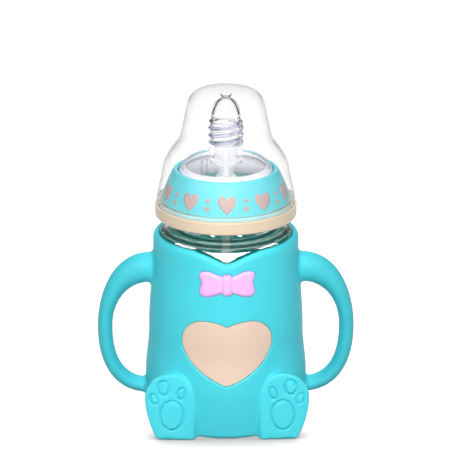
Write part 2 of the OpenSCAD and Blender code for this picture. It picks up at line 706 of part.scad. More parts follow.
module dust_cap() {
    bead_in_r = collar_r + cap_bead_play;
    bead_top = ring_top + cap_bead_h;
    color("#f4fbfc", 0.25) turned(concat([[bead_in_r, ring_top]], cap_wall_line(0, ring_top),
        backwards(cap_wall_line(cap_wall, bead_top)), [[bead_in_r, bead_top]]));
}

silicone_sleeve();
heart_inlay();
bow_tie();
glass_bottle();
screw_collar();
collar_base_ring();
teat();
straw_connector();
straw_tube();
weight_housing();
weight_cage();
steel_weight();
dust_cap();
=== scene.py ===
# %% [markdown]
# # A baby bottle in a soft sleeve
# The object is a glass feeding bottle. A silicone sleeve with two handles and two paw-shaped feet holds
# the glass, a screw collar clamps a ribbed teat on its neck, and a clear dust cap stands on a ring round
# the collar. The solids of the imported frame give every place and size. What is made here is their looks:
# soft rubbery blends that a lathe can't turn, clear parts with smooth walls, and a finish for every
# surface.

# %% Load the frame and keep its box
import math

import bmesh
import bpy
import numpy as np
import openvdb
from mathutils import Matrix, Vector


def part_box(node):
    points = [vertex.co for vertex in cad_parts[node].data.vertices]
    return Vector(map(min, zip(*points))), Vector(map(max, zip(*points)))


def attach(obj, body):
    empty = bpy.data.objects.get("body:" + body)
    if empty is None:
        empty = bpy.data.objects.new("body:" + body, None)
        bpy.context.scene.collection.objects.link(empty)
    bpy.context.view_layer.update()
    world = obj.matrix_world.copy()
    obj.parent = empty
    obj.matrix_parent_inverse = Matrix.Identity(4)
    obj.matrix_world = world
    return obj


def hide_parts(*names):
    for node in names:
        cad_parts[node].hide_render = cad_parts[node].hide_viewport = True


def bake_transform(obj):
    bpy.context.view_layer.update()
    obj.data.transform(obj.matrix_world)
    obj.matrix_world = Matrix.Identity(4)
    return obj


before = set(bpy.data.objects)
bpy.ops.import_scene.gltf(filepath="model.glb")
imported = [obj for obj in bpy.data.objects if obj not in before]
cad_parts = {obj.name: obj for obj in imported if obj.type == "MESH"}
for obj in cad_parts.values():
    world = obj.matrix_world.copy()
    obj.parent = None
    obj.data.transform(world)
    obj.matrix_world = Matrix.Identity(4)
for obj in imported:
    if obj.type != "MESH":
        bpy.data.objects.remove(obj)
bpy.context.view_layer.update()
MM = 0.001

# %% [markdown]
# All outlines below are written in millimetres, as on a drawing, and are turned into metres when a mesh
# is made. The heights and radii that the pieces share are read from the boxes of the frame's solids, so
# each dressed piece sits exactly where its solid sits.

# %% Heights and radii from the frame


def span(node):
    """Lowest height, highest height and half width of a frame solid, in millimetres."""
    low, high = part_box(node)
    return low.z / MM, high.z / MM, high.x / MM


_, SLEEVE_TOP, HANDLE_OUT = span("silicone_sleeve")
GLASS_FOOT, GLASS_RIM, GLASS_R = span("glass_bottle")
COLLAR_FOOT, COLLAR_TOP, COLLAR_R = span("screw_collar")
RING_FOOT, RING_TOP, RING_R = span("collar_base_ring")
CAP_FOOT, CAP_TOP, CAP_R = span("dust_cap")
TEAT_FOOT, TEAT_TOP, FLANGE_R = span("teat")
SOCKET_FOOT, PLUG_TOP, SEAT_R = span("straw_connector")
STRAW_FOOT, STRAW_TOP, STRAW_R = span("straw_tube")
_, _, WEIGHT_R = span("weight_cage")
HOUSING_FOOT, NIPPLE_TOP, _ = span("weight_housing")
STEEL_FOOT, STEEL_TOP, STEEL_R = span("steel_weight")
print("sleeve", SLEEVE_TOP, "collar", COLLAR_TOP, "teat", TEAT_TOP, "cap", CAP_TOP)

# %% [markdown]
# ## Camera
# The photograph looks down a little on the front of the bottle through a long lens, so the shapes hardly
# shrink with distance. The camera stands on a sphere round a point on the bottle's axis. It could be
# tracked to an empty, but a look-at rotation worked out once keeps the scene free of constraints.

# %% Camera
AIM = Vector((-0.0004, 0.0, 0.0921))
LENS_MM = 154.0
CAMERA_AWAY = 0.900
CAMERA_RISE = math.radians(19.0)
CAMERA_ROUND = math.radians(-1.0)

camera_data = bpy.data.cameras.new("photo_camera")
camera_data.lens = LENS_MM
camera_data.sensor_width = 36.0
camera = bpy.data.objects.new("photo_camera", camera_data)
bpy.context.scene.collection.objects.link(camera)
to_camera = Vector((
    math.sin(CAMERA_ROUND) * math.cos(CAMERA_RISE),
    -math.cos(CAMERA_ROUND) * math.cos(CAMERA_RISE),
    math.sin(CAMERA_RISE),
))
camera.location = AIM + to_camera * CAMERA_AWAY
camera.rotation_euler = (-to_camera).to_track_quat("-Z", "Y").to_euler()
bpy.context.scene.camera = camera
print("camera at", [round(v, 3) for v in camera.location])

# %% [markdown]
# ## Light and background
# Soft lamps light the bottle: one in front and above, one on each side, a weak one overhead and one
# behind. A white room adds even light, weaker near the floor and at its side walls. Clear plastic only
# shows its outline if it has something dark to bend into view, so sight that passes through a piece or is
# mirrored by it meets the same room with nearly black side walls.

# %% Light helpers
scene = bpy.context.scene


def link(tree, source, target):
    """Joins an output socket to an input socket."""
    tree.links.new(source, target)


def put(tree, kind, label, sockets=None, **settings):
    """Adds one shader node, with its settings and the values of its sockets."""
    made = tree.nodes.new(kind)
    made.label = label
    for key, value in settings.items():
        setattr(made, key, value)
    for key, value in (sockets or {}).items():
        made.inputs[key].default_value = value
    return made


def softbox(name, place, target, size, power):
    """A rectangular lamp that faces a point. Neither the camera nor sight through clear pieces meets it."""
    data = bpy.data.lights.new(name, "AREA")
    data.shape = "RECTANGLE"
    data.size, data.size_y = size
    data.energy = power
    lamp = bpy.data.objects.new(name, data)
    lamp.location = place
    lamp.rotation_euler = (Vector(target) - Vector(place)).to_track_quat("-Z", "Y").to_euler()
    scene.collection.objects.link(lamp)
    lamp.visible_transmission = False
    lamp.visible_camera = False
    return lamp


# %% Lamps and world
MIDDLE = (0.0, 0.0, 0.08)
softbox("front_softbox", (0.0, -0.40, 0.30), MIDDLE, (0.22, 0.18), 1.42)
for side in (-1, 1):
    softbox("side_softbox", (side * 0.48, -0.34, 0.44), MIDDLE, (0.20, 0.40), 0.95)
softbox("top_softbox", (0.0, -0.25, 1.10), MIDDLE, (0.7, 0.5), 0.3)
back_lamp = softbox("back_softbox", (0.0, 0.40, 0.30), MIDDLE, (0.22, 0.18), 0.8)
back_lamp.visible_glossy = False

ROOM_LIGHT = 0.70
WALL_DARK = 0.04
WALL_LIGHT = 0.20
LOW_LIGHT = 0.12
LOW_END = 0.6
WALL_FROM = 0.18
WALL_FULL = 0.46

world = bpy.data.worlds.new("white_room")
world.use_nodes = True
scene.world = world
tree = world.node_tree
tree.nodes.clear()
out = put(tree, "ShaderNodeOutputWorld", "world")
lighting = put(tree, "ShaderNodeBackground", "light on the bottle")
seen = put(tree, "ShaderNodeBackground", "room that is seen")
ways = put(tree, "ShaderNodeLightPath", "which rays")
mix = put(tree, "ShaderNodeMixShader", "lighting or seen")
direction = put(tree, "ShaderNodeTexCoord", "direction")
split = put(tree, "ShaderNodeSeparateXYZ", "to the side")
sideways = put(tree, "ShaderNodeMath", "left or right", operation="ABSOLUTE")
link(tree, direction.outputs["Generated"], split.inputs[0])
link(tree, split.outputs["X"], sideways.inputs[0])
for room, dark in ((seen, WALL_DARK), (lighting, WALL_LIGHT)):
    walls = put(tree, "ShaderNodeMapRange", "side walls", {
        "From Min": WALL_FROM, "From Max": WALL_FULL, "To Min": 1.0, "To Max": dark},
        interpolation_type="SMOOTHSTEP")
    link(tree, sideways.outputs[0], walls.inputs["Value"])
    link(tree, walls.outputs["Result"], room.inputs["Color"])
low_light = put(tree, "ShaderNodeMapRange", "weaker near the floor", {
    "From Max": LOW_END, "To Min": LOW_LIGHT * ROOM_LIGHT, "To Max": ROOM_LIGHT})
link(tree, split.outputs["Z"], low_light.inputs["Value"])
link(tree, low_light.outputs["Result"], lighting.inputs["Strength"])
link(tree, ways.outputs["Is Diffuse Ray"], mix.inputs["Fac"])
link(tree, seen.outputs[0], mix.inputs[1])
link(tree, lighting.outputs[0], mix.inputs[2])
link(tree, mix.outputs[0], out.inputs["Surface"])

scene.view_settings.view_transform = "Standard"
scene.cycles.max_bounces = 24
scene.cycles.transmission_bounces = 20
scene.cycles.transparent_max_bounces = 24
scene.cycles.use_denoising = True

# %% [markdown]
# The bottle stands on a sheet of white paper. One large quad is enough for it, because it has to be flat
# where the bottle stands and only has to reach past the edges of the picture.

# %% Floor
FLOOR_SIZE = 8.0

floor_mesh = bpy.data.meshes.new("floor")
half = FLOOR_SIZE / 2
corners = [(-half, -half, 0), (half, -half, 0), (half, half, 0), (-half, half, 0)]
floor_mesh.from_pydata(corners, [], [(0, 1, 2, 3)])
floor = bpy.data.objects.new("floor", floor_mesh)
scene.collection.objects.link(floor)
print("floor", FLOOR_SIZE, "m wide")

# %% [markdown]
# A thin contact shadow lies in front of the bottle: an ambient occlusion node darkens the paper where the
# bottle is close. A glow that only the eye meets lifts the rest of the paper to plain white, and a strip
# across the floor, level with the bottle, is plain white without a shadow. For the light that it throws
# back up, the paper is a dark grey that doesn't glow.

# %% White paper
FLOOR_GLOW = 0.88
STRIP_GLOW = 1.0
CONTACT_DARK = 0.37
STRIP_Y = 0.02
STRIP_HALF = 0.046
STRIP_FADE = 0.058
CONTACT_MM = 20.0
CONTACT_FULL = 0.45
CONTACT_NONE = 0.98
FLOOR_SEEN = (0.40, 0.38, 0.38, 1)
FLOOR_BOUNCE = (0.05, 0.05, 0.05, 1)

paper = bpy.data.materials.new("white_paper")
paper.use_nodes = True
tree = paper.node_tree
tree.nodes.clear()
out = put(tree, "ShaderNodeOutputMaterial", "floor")
matt = put(tree, "ShaderNodeBsdfDiffuse", "paper")
glow = put(tree, "ShaderNodeEmission", "white to the eye")
ways = put(tree, "ShaderNodeLightPath", "which rays")
shade = put(tree, "ShaderNodeMix", "seen or bounced", data_type="RGBA")
shade.inputs[6].default_value = FLOOR_SEEN
shade.inputs[7].default_value = FLOOR_BOUNCE
place = put(tree, "ShaderNodeTexCoord", "place on the floor")
floor_split = put(tree, "ShaderNodeSeparateXYZ", "front to back")
off = put(tree, "ShaderNodeMath", "from the bright strip", {1: STRIP_Y}, operation="SUBTRACT")
away = put(tree, "ShaderNodeMath", "either way", operation="ABSOLUTE")
strip = put(tree, "ShaderNodeMapRange", "bright strip beside the bottle", {
    "From Min": STRIP_HALF, "From Max": STRIP_FADE, "To Min": STRIP_GLOW, "To Max": FLOOR_GLOW})
level = put(tree, "ShaderNodeMapRange", "no glow on the bottle", {"To Max": 0.0})
link(tree, place.outputs["Object"], floor_split.inputs[0])
link(tree, floor_split.outputs["Y"], off.inputs[0])
link(tree, off.outputs[0], away.inputs[0])
link(tree, away.outputs[0], strip.inputs["Value"])
link(tree, strip.outputs["Result"], level.inputs["To Min"])
add = put(tree, "ShaderNodeAddShader", "paper and glow")
near = put(tree, "ShaderNodeAmbientOcclusion", "close to the bottle", {
    "Distance": CONTACT_MM * MM}, samples=16)
contact = put(tree, "ShaderNodeMapRange", "contact shadow", {
    "From Min": CONTACT_FULL, "From Max": CONTACT_NONE, "To Max": 1.0})
depth = put(tree, "ShaderNodeMapRange", "contact shadow in front only", {
    "From Min": STRIP_HALF, "From Max": STRIP_FADE, "To Min": 1.0, "To Max": CONTACT_DARK})
link(tree, away.outputs[0], depth.inputs["Value"])
link(tree, depth.outputs["Result"], contact.inputs["To Min"])
dimmed = put(tree, "ShaderNodeMath", "glow in the shadow", operation="MULTIPLY")
soiled = put(tree, "ShaderNodeMix", "paper in the shadow", {0: 1.0}, data_type="RGBA", blend_type="MULTIPLY")
link(tree, near.outputs["AO"], contact.inputs["Value"])
link(tree, ways.outputs["Is Diffuse Ray"], shade.inputs[0])
link(tree, ways.outputs["Is Diffuse Ray"], level.inputs["Value"])
link(tree, shade.outputs[2], soiled.inputs[6])
link(tree, contact.outputs["Result"], soiled.inputs[7])
link(tree, soiled.outputs[2], matt.inputs["Color"])
link(tree, level.outputs[0], dimmed.inputs[0])
link(tree, contact.outputs["Result"], dimmed.inputs[1])
link(tree, dimmed.outputs[0], glow.inputs["Strength"])
link(tree, matt.outputs[0], add.inputs[0])
link(tree, glow.outputs[0], add.inputs[1])
link(tree, add.outputs[0], out.inputs["Surface"])
floor_mesh.materials.append(paper)
print("contact shadow", CONTACT_MM, "mm wide")

# %% [markdown]
# ## Finishes
# The soft pieces are silicone: satin, with a very fine grain from the mould and a little light that
# passes into the surface. The collar and its ring are satin plastic. One function builds all of these,
# because they differ only in colour and in how rough, soft and shiny they are. The grain is a noise in
# the piece's own coordinates, so it stays put when a piece moves.

# %% Moulded finishes
DRIFT_SCALE = 55.0
ROUGH_DRIFT = 0.05
GRAIN_STRENGTH = 0.35
SOFT_REACH = 0.0012


def srgb(red, green, blue):
    """A colour as a screen shows it, 0 to 255, as the linear colour that a shader takes."""
    def linear(v):
        v = v / 255
        return v / 12.92 if v <= 0.04045 else ((v + 0.055) / 1.055) ** 2.4
    return linear(red), linear(green), linear(blue), 1.0


def opened(material):
    """A material's node tree and its main shader."""
    return material.node_tree, material.node_tree.nodes["Principled BSDF"]


def moulded(name, colour, rough, grain_mm=0.35, grain_depth=0.02, soft=0.0, sheen=0.0, blotch=0.05, coat=0.0,
            shine=0.5):
    """A moulded silicone or plastic: tone and roughness drift slowly, and a fine grain covers the surface."""
    made = bpy.data.materials.new(name)
    made.use_nodes = True
    tree, shader = opened(made)
    where = put(tree, "ShaderNodeTexCoord", "place on the piece")
    drift = put(tree, "ShaderNodeTexNoise", "slow drift", {"Scale": DRIFT_SCALE, "Detail": 3.0})
    grain = put(tree, "ShaderNodeTexNoise", "mould grain", {"Scale": 1 / (grain_mm * MM), "Detail": 2.0})
    deep = [c * (1 - blotch) for c in colour[:3]] + [1]
    pale = [min(1.0, c * (1 + blotch)) for c in colour[:3]] + [1]
    tone = put(tree, "ShaderNodeMix", "tone", data_type="RGBA")
    tone.inputs[6].default_value = deep
    tone.inputs[7].default_value = pale
    rub = put(tree, "ShaderNodeMapRange", "roughness", {
        "From Min": 0.3, "From Max": 0.7, "To Min": rough - ROUGH_DRIFT, "To Max": rough + ROUGH_DRIFT})
    bump = put(tree, "ShaderNodeBump", "grain height", {
        "Strength": GRAIN_STRENGTH, "Distance": grain_depth * MM})
    for noise in (drift, grain):
        link(tree, where.outputs["Object"], noise.inputs["Vector"])
    link(tree, drift.outputs["Fac"], tone.inputs[0])
    link(tree, drift.outputs["Fac"], rub.inputs["Value"])
    link(tree, grain.outputs["Fac"], bump.inputs["Height"])
    link(tree, tone.outputs[2], shader.inputs["Base Color"])
    link(tree, rub.outputs["Result"], shader.inputs["Roughness"])
    link(tree, bump.outputs["Normal"], shader.inputs["Normal"])
    shader.inputs["Subsurface Weight"].default_value = soft
    shader.inputs["Subsurface Radius"].default_value = (1.0, 1.0, 1.0)
    shader.inputs["Subsurface Scale"].default_value = SOFT_REACH
    shader.inputs["Specular IOR Level"].default_value = shine
    shader.inputs["Sheen Weight"].default_value = sheen
    shader.inputs["Sheen Roughness"].default_value = 0.4
    shader.inputs["Coat Weight"].default_value = coat
    shader.inputs["Coat Roughness"].default_value = 0.25
    return made


turquoise_silicone = moulded("turquoise_silicone", srgb(78, 222, 236), 0.52, soft=0.10, shine=0.35)
peach_silicone = moulded("peach_silicone", srgb(240, 212, 192), 0.52, soft=0.10)
pink_silicone = moulded("pink_silicone", srgb(251, 193, 247), 0.48, soft=0.12)
turquoise_plastic = moulded("turquoise_plastic", srgb(118, 226, 237), 0.40, coat=0.1)
cream_plastic = moulded("cream_plastic", srgb(233, 213, 185), 0.42, sheen=0.5)
print_ink = moulded("print_ink", srgb(208, 181, 177), 0.55, grain_mm=0.2)
white_plastic = moulded("white_plastic", srgb(238, 238, 235), 0.38, soft=0.2)
print("moulded finishes are made,", len(bpy.data.materials), "materials so far")

# %% [markdown]
# The handles get painted shade: their colour is made a little darker than the body's, in place of shade
# that the lamps don't give them. It could be a material of its own, but the sleeve is one moulding without a
# seam. The painted shade therefore fades in with the distance to either side of the axis.

# %% Painted shade on the handles
HANDLE_PAINTED_SHADE = 0.87
HANDLE_FROM = 0.034
HANDLE_FULL = 0.046

tree, shader = opened(turquoise_silicone)
tone = shader.inputs["Base Color"].links[0].from_socket
where = put(tree, "ShaderNodeTexCoord", "place on the piece")
split = put(tree, "ShaderNodeSeparateXYZ", "left to right")
either = put(tree, "ShaderNodeMath", "either side", operation="ABSOLUTE")
# Painted shade: the handles' colour is darkened with the distance from the axis.
solid = put(tree, "ShaderNodeMapRange", "painted shade towards the handles", {
    "From Min": HANDLE_FROM, "From Max": HANDLE_FULL, "To Min": 1.0, "To Max": HANDLE_PAINTED_SHADE})
handle_shade_paint = put(tree, "ShaderNodeMix", "handles painted darker", {0: 1.0},
              data_type="RGBA", blend_type="MULTIPLY")
link(tree, where.outputs["Object"], split.inputs[0])
link(tree, split.outputs["X"], either.inputs[0])
link(tree, either.outputs[0], solid.inputs["Value"])
link(tree, tone, handle_shade_paint.inputs[6])
link(tree, solid.outputs["Result"], handle_shade_paint.inputs[7])
link(tree, handle_shade_paint.outputs[2], shader.inputs["Base Color"])
print("handles have", HANDLE_PAINTED_SHADE, "of the tone of the body")

# %% [markdown]
# The cap, the glass, the teat and the straw are clear, and light bends at both faces of their walls.
# Lamps and soft room light pass straight through them, because bent light from a lamp would only add
# noise: the shader changes to plain transparency for shadow rays and for light on its way to a matt
# surface. The helpers below the finish itself let a tone follow the height or the radius on a piece.

# %% Clear finishes


def clear(name, colour, bend, rough, ripple_mm=9.0, ripple_depth=0.02, haze=0.0, shade=0.99):
    """A clear wall that refracts, lets lamps through and has the faint ripple of moulded or blown walls."""
    made = bpy.data.materials.new(name)
    made.use_nodes = True
    tree, shader = opened(made)
    shader.inputs["Base Color"].default_value = colour
    shader.inputs["Roughness"].default_value = rough
    shader.inputs["IOR"].default_value = bend
    shader.inputs["Transmission Weight"].default_value = 1.0 - haze
    where = put(tree, "ShaderNodeTexCoord", "place on the piece")
    ripple = put(tree, "ShaderNodeTexNoise", "ripple", {"Scale": 1 / (ripple_mm * MM), "Detail": 1.0})
    bump = put(tree, "ShaderNodeBump", "ripple height", {"Strength": 0.5, "Distance": ripple_depth * MM})
    link(tree, where.outputs["Object"], ripple.inputs["Vector"])
    link(tree, ripple.outputs["Fac"], bump.inputs["Height"])
    link(tree, bump.outputs["Normal"], shader.inputs["Normal"])
    ways = put(tree, "ShaderNodeLightPath", "which rays")
    through = put(tree, "ShaderNodeMath", "shadow or soft light", operation="MAXIMUM")
    open_air = put(tree, "ShaderNodeBsdfTransparent", "lets light through", {
        "Color": (shade, shade, shade, 1)})
    mix = put(tree, "ShaderNodeMixShader", "seen or lit through")
    link(tree, ways.outputs["Is Shadow Ray"], through.inputs[0])
    link(tree, ways.outputs["Is Diffuse Ray"], through.inputs[1])
    link(tree, through.outputs[0], mix.inputs["Fac"])
    link(tree, shader.outputs[0], mix.inputs[1])
    link(tree, open_air.outputs[0], mix.inputs[2])
    link(tree, mix.outputs[0], tree.nodes["Material Output"].inputs["Surface"])
    return made


def ramp(tree, label, source, stops):
    """A colour ramp fed by a value. Each stop is a position with a grey or a colour."""
    made = put(tree, "ShaderNodeValToRGB", label)
    elements = made.color_ramp.elements
    elements.remove(elements[1])
    for k, (position, tone) in enumerate(stops):
        stop = elements[0] if k == 0 else elements.new(position)
        stop.position = position
        stop.color = (*tone, 1) if isinstance(tone, tuple) else (tone, tone, tone, 1)
    link(tree, source, made.inputs["Fac"])
    return made.outputs["Color"]


def height_share(tree, low, high):
    """How far up between two heights in millimetres a point of the piece lies, from 0 to 1."""
    where = put(tree, "ShaderNodeTexCoord", "place on the piece")
    split = put(tree, "ShaderNodeSeparateXYZ", "height")
    up = put(tree, "ShaderNodeMapRange", "share of the height", {"From Min": low * MM, "From Max": high * MM})
    link(tree, where.outputs["Object"], split.inputs[0])
    link(tree, split.outputs["Z"], up.inputs["Value"])
    return up.outputs["Result"]


def radius_of(tree):
    """How far from its axis a point of the piece lies, in metres."""
    where = put(tree, "ShaderNodeTexCoord", "place on the piece")
    flat = put(tree, "ShaderNodeVectorMath", "out from the axis", {1: (1, 1, 0)}, operation="MULTIPLY")
    reach = put(tree, "ShaderNodeVectorMath", "radius", operation="LENGTH")
    link(tree, where.outputs["Object"], flat.inputs[0])
    link(tree, flat.outputs[0], reach.inputs[0])
    return reach.outputs["Value"]


# %% [markdown]
# The cap is seen mostly by its outline, which is painted shade: its colour darkens where its surface turns
# away from the eye. It bends light less than the real plastic does, because at full bend that thin outline
# was lost. Two pale lines on the outer face of its foot are painted highlights on the edges of the bead.

# %% Clear plastic of the cap
CAP_BEND = 1.13
FOOT_HIGHLIGHT_SPAN = 2.0
OUTER_FACE = CAP_R - 0.3

clear_plastic = clear("clear_plastic", (1, 1, 1, 1), CAP_BEND, 0.0)
tree, shader = opened(clear_plastic)
edge = put(tree, "ShaderNodeLayerWeight", "towards the edge", {"Blend": 0.5})
# Painted shade: the colour darkens towards the outline.
thick = ramp(tree, "painted shade along the outline", edge.outputs["Facing"], (
    (0.15, 0.998), (0.35, 0.97), (0.55, 0.89), (0.72, 0.82), (0.84, 0.45), (1.0, 0.18)))
# Painted highlights: two thin bands on the bead's outer face turn milky white.
foot = ramp(tree, "painted highlight lines on the foot", height_share(tree, CAP_FOOT, CAP_FOOT + FOOT_HIGHLIGHT_SPAN), (
    (0.0, 0.25), (0.36, 0.25), (0.42, 0.95), (0.62, 0.95), (0.68, 0.30), (0.88, 0.30), (0.94, 1.0)))
outer = put(tree, "ShaderNodeMath", "outer face only", {1: OUTER_FACE * MM}, operation="GREATER_THAN")
lines = put(tree, "ShaderNodeMix", "clear or painted highlight", {2: 1.0})
link(tree, radius_of(tree), outer.inputs[0])
link(tree, outer.outputs[0], lines.inputs[0])
link(tree, foot, lines.inputs[3])
link(tree, thick, shader.inputs["Base Color"])
link(tree, lines.outputs[0], shader.inputs["Transmission Weight"])
print(clear_plastic.name, "bends light by", CAP_BEND)

# %% [markdown]
# The glass has a faint green tone. Where its shoulder turns, a dark band between two pale lines is painted
# round it: painted shade and painted highlights, so tone and clearness follow the height. The straw is soft,
# hazy silicone.

# %% Glass and straw
GLASS_BEND = 1.36
STRAW_BEND = 1.41
GLASS_TONE = (0.80, 0.97, 0.86)
SHOULDER_PAINTED_SHADE = (0.30, 0.28, 0.25)
SHOULDER_LOW = SLEEVE_TOP - 1.0
SHOULDER_HIGH = SLEEVE_TOP + 4.0

clear_glass = clear("clear_glass", (1, 1, 1, 1), GLASS_BEND, 0.0, ripple_mm=14.0, shade=0.88)
tree, shader = opened(clear_glass)
shoulder_up = height_share(tree, SHOULDER_LOW, SHOULDER_HIGH)
# Painted shade: a dark band at the turn of the shoulder.
tone = ramp(tree, "painted dark band at the turn of the shoulder", shoulder_up, (
    (0.0, GLASS_TONE), (0.38, GLASS_TONE), (0.43, SHOULDER_PAINTED_SHADE), (0.56, SHOULDER_PAINTED_SHADE), (0.61, GLASS_TONE)))
# Painted highlights: a pale milky line on each side of the dark band.
share = ramp(tree, "clear share", shoulder_up, (
    (0.30, 1.0), (0.34, 0.70), (0.40, 0.95), (0.58, 0.95), (0.62, 0.72), (0.70, 1.0)))
link(tree, tone, shader.inputs["Base Color"])
link(tree, share, shader.inputs["Transmission Weight"])
straw_silicone = clear("straw_silicone", (0.93, 0.96, 0.96, 1), STRAW_BEND, 0.18, haze=0.25)
print(clear_glass.name, "bends light by", GLASS_BEND, "and", straw_silicone.name, "by", STRAW_BEND)

# %% [markdown]
# The weight is a ring of ground steel. Grinding leaves fine marks round the axis. They could be cut into
# the mesh, but a noise that is squeezed in height and changes only the roughness shows them as well.

# %% Steel
steel = bpy.data.materials.new("ground_steel")
steel.use_nodes = True
tree, shader = opened(steel)
shader.inputs["Base Color"].default_value = (0.62, 0.63, 0.65, 1)
shader.inputs["Metallic"].default_value = 1.0
where = put(tree, "ShaderNodeTexCoord", "place on the piece")
stretch = put(tree, "ShaderNodeMapping", "rings round the axis", {"Scale": (150.0, 150.0, 6000.0)})
scratch = put(tree, "ShaderNodeTexNoise", "grinding marks", {"Scale": 1.0, "Detail": 3.0})
rub = put(tree, "ShaderNodeMapRange", "roughness", {"To Min": 0.22, "To Max": 0.42})
link(tree, where.outputs["Object"], stretch.inputs["Vector"])
link(tree, stretch.outputs[0], scratch.inputs["Vector"])
link(tree, scratch.outputs["Fac"], rub.inputs["Value"])
link(tree, rub.outputs["Result"], shader.inputs["Roughness"])
print("finishes:", len(bpy.data.materials))

# %% [markdown]
# ## Meshes from outlines
# Most rigid pieces are round, so a closed outline of radius and height is turned about the axis. A Screw
# modifier could do it. Building the rings in code gives closed meshes, with poles where an outline meets
# the axis, and lets a spiral be added to the radius later. Corners are rounded in the outline itself,
# because a real edge always catches a thin line of light.

# %% Outline helpers


def bezier(a, b, c, d, steps=14):
    """Points along one cubic curve."""
    t = np.linspace(0, 1, steps + 1)[:, None]
    a, b, c, d = (np.array(p, float) for p in (a, b, c, d))
    return a * (1 - t) ** 3 + 3 * b * t * (1 - t) ** 2 + 3 * c * t * t * (1 - t) + d * t ** 3


def chain(*curves):
    """One run of points through curves that start where the last one ended."""
    return np.vstack([curves[0]] + [c[1:] for c in curves[1:]])


def arc(middle, radius, start, stop, steps=8):
    """Points on an arc, with angles in degrees."""
    angle = np.radians(np.linspace(start, stop, steps + 1))
    return np.array(middle) + radius * np.stack([np.cos(angle), np.sin(angle)], 1)


def rounded(corners, steps=5):
    """An outline whose corners (radius, height, rounding) become arcs with a support point each side."""
    points = []
    count = len(corners)
    for i, (r, z, size) in enumerate(corners):
        here = np.array((r, z), float)
        if size == 0:
            points.append(here)
            continue
        before = np.array(corners[i - 1][:2], float) - here
        after = np.array(corners[(i + 1) % count][:2], float) - here
        room = 0.45 * min(np.linalg.norm(before), np.linalg.norm(after))
        before /= np.linalg.norm(before)
        after /= np.linalg.norm(after)
        half_angle = math.acos(max(-1.0, min(1.0, float(before @ after)))) / 2
        reach = min(room, size / math.tan(half_angle))
        start, stop = here + before * reach, here + after * reach
        points.append(here + before * reach * 1.25)
        for t in np.linspace(0, 1, steps + 1):
            points.append(start * (1 - t) ** 2 + 2 * here * t * (1 - t) + stop * t * t)
        points.append(here + after * reach * 1.25)
    return np.array(points)


# %% Turned meshes
AROUND = 128
SMALL_AROUND = 96


def finish_mesh(name, verts, faces):
    """A smooth-shaded object from points in millimetres, with its faces turned outwards."""
    mesh = bpy.data.meshes.new(name)
    mesh.from_pydata((np.asarray(verts, float) * MM).tolist(), [], faces)
    work = bmesh.new()
    work.from_mesh(mesh)
    bmesh.ops.recalc_face_normals(work, faces=work.faces)
    for face in work.faces:
        face.smooth = True
    work.to_mesh(mesh)
    work.free()
    made = bpy.data.objects.new(name, mesh)
    scene.collection.objects.link(made)
    return made


def rings_to_faces(rings, closed):
    """Quads between rings of vertex numbers, and triangles where a ring is one point on the axis."""
    faces = []
    pairs = list(zip(rings, rings[1:])) + ([(rings[-1], rings[0])] if closed else [])
    for low, high in pairs:
        count = max(len(low), len(high))
        for i in range(count if count > 1 else 0):
            j = (i + 1) % count
            corners = [low[i % len(low)], low[j % len(low)], high[j % len(high)], high[i % len(high)]]
            faces.append(list(dict.fromkeys(corners)))
    return faces


def turned(name, outline, around=AROUND, swell=None):
    """A closed outline turned about the axis. swell(angle, radius, height) may change the radius."""
    angle = np.linspace(0, 2 * math.pi, around, endpoint=False)
    verts, rings = [], []
    for r, z in outline:
        if r < 1e-6:
            rings.append([len(verts)])
            verts.append((0.0, 0.0, z))
            continue
        radius = np.full(around, r) if swell is None else swell(angle, r, z)
        rings.append(list(range(len(verts), len(verts) + around)))
        verts += np.stack([radius * np.cos(angle), radius * np.sin(angle), np.full(around, z)], 1).tolist()
    return finish_mesh(name, verts, rings_to_faces(rings, closed=True))


def dress(made, body, slot, finish, *nodes):
    """Gives a piece its finish, its body and the frame solids that it stands for. The slot is not used."""
    made.data.materials.append(finish)
    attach(made, body)
    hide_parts(*nodes)
    print(made.name, "has", len(made.data.polygons), "faces and stands for", ", ".join(nodes))
    return made


# %% [markdown]
# A screw ridge is a small section carried round the axis while it climbs. It fades into the wall at both
# ends, as a moulded thread does. The glass and the collar each get one, and joining it to the turned mesh
# keeps each piece one object.

# %% Screw ridges


def ridge(name, root_r, crest_r, foot_z, lead, turns, base_w, crest_w, around=64, fade=0.12):
    """A spiral ridge from root_r to crest_r whose middle starts at foot_z."""
    count = int(turns * around)
    verts, rings = [], []
    for i in range(count + 1):
        turn = turns * i / count
        t = min(1.0, min(turn, turns - turn) / fade)
        rise = max(0.05, t * t * (3 - 2 * t))
        top_r = root_r + (crest_r - root_r) * rise
        sunk_r = root_r - math.copysign(0.3, crest_r - root_r)
        a = 2 * math.pi * turn
        rings.append(list(range(len(verts), len(verts) + 6)))
        section = [(sunk_r, -base_w / 2), (root_r, -base_w / 2), (top_r, -crest_w / 2)]
        section += [(r, -z) for r, z in reversed(section)]
        verts += [(r * math.cos(a), r * math.sin(a), foot_z + lead * turn + z) for r, z in section]
    faces = rings_to_faces(rings, closed=False)
    return finish_mesh(name, verts, faces + [rings[0], rings[-1]])


def join(main, *extra):
    """Joins more meshes into the first one."""
    with bpy.context.temp_override(active_object=main, selected_editable_objects=[main, *extra]):
        bpy.ops.object.join()
    return main


# %% [markdown]
# ## Soft shapes from distance
# The sleeve is one moulding: body, handles and paws run into each other with soft hollows. Loops and
# subdivision could make it, but every blend would need its own edge flow. Here each part is a formula for
# the distance to its surface, and a soft minimum or maximum joins or cuts them with a rounding of known
# size. OpenVDB, which comes with Blender, turns the sum into quads, and the points are then drawn onto
# the exact surface. Where there is fine relief, the faces are split and drawn in again.

# %% Distance helpers


def soft_min(a, b, reach):
    """The smaller of two distances, with a hollow of about that reach where they meet."""
    h = np.maximum(reach - np.abs(a - b), 0) / reach
    return np.minimum(a, b) - h * h * reach / 4


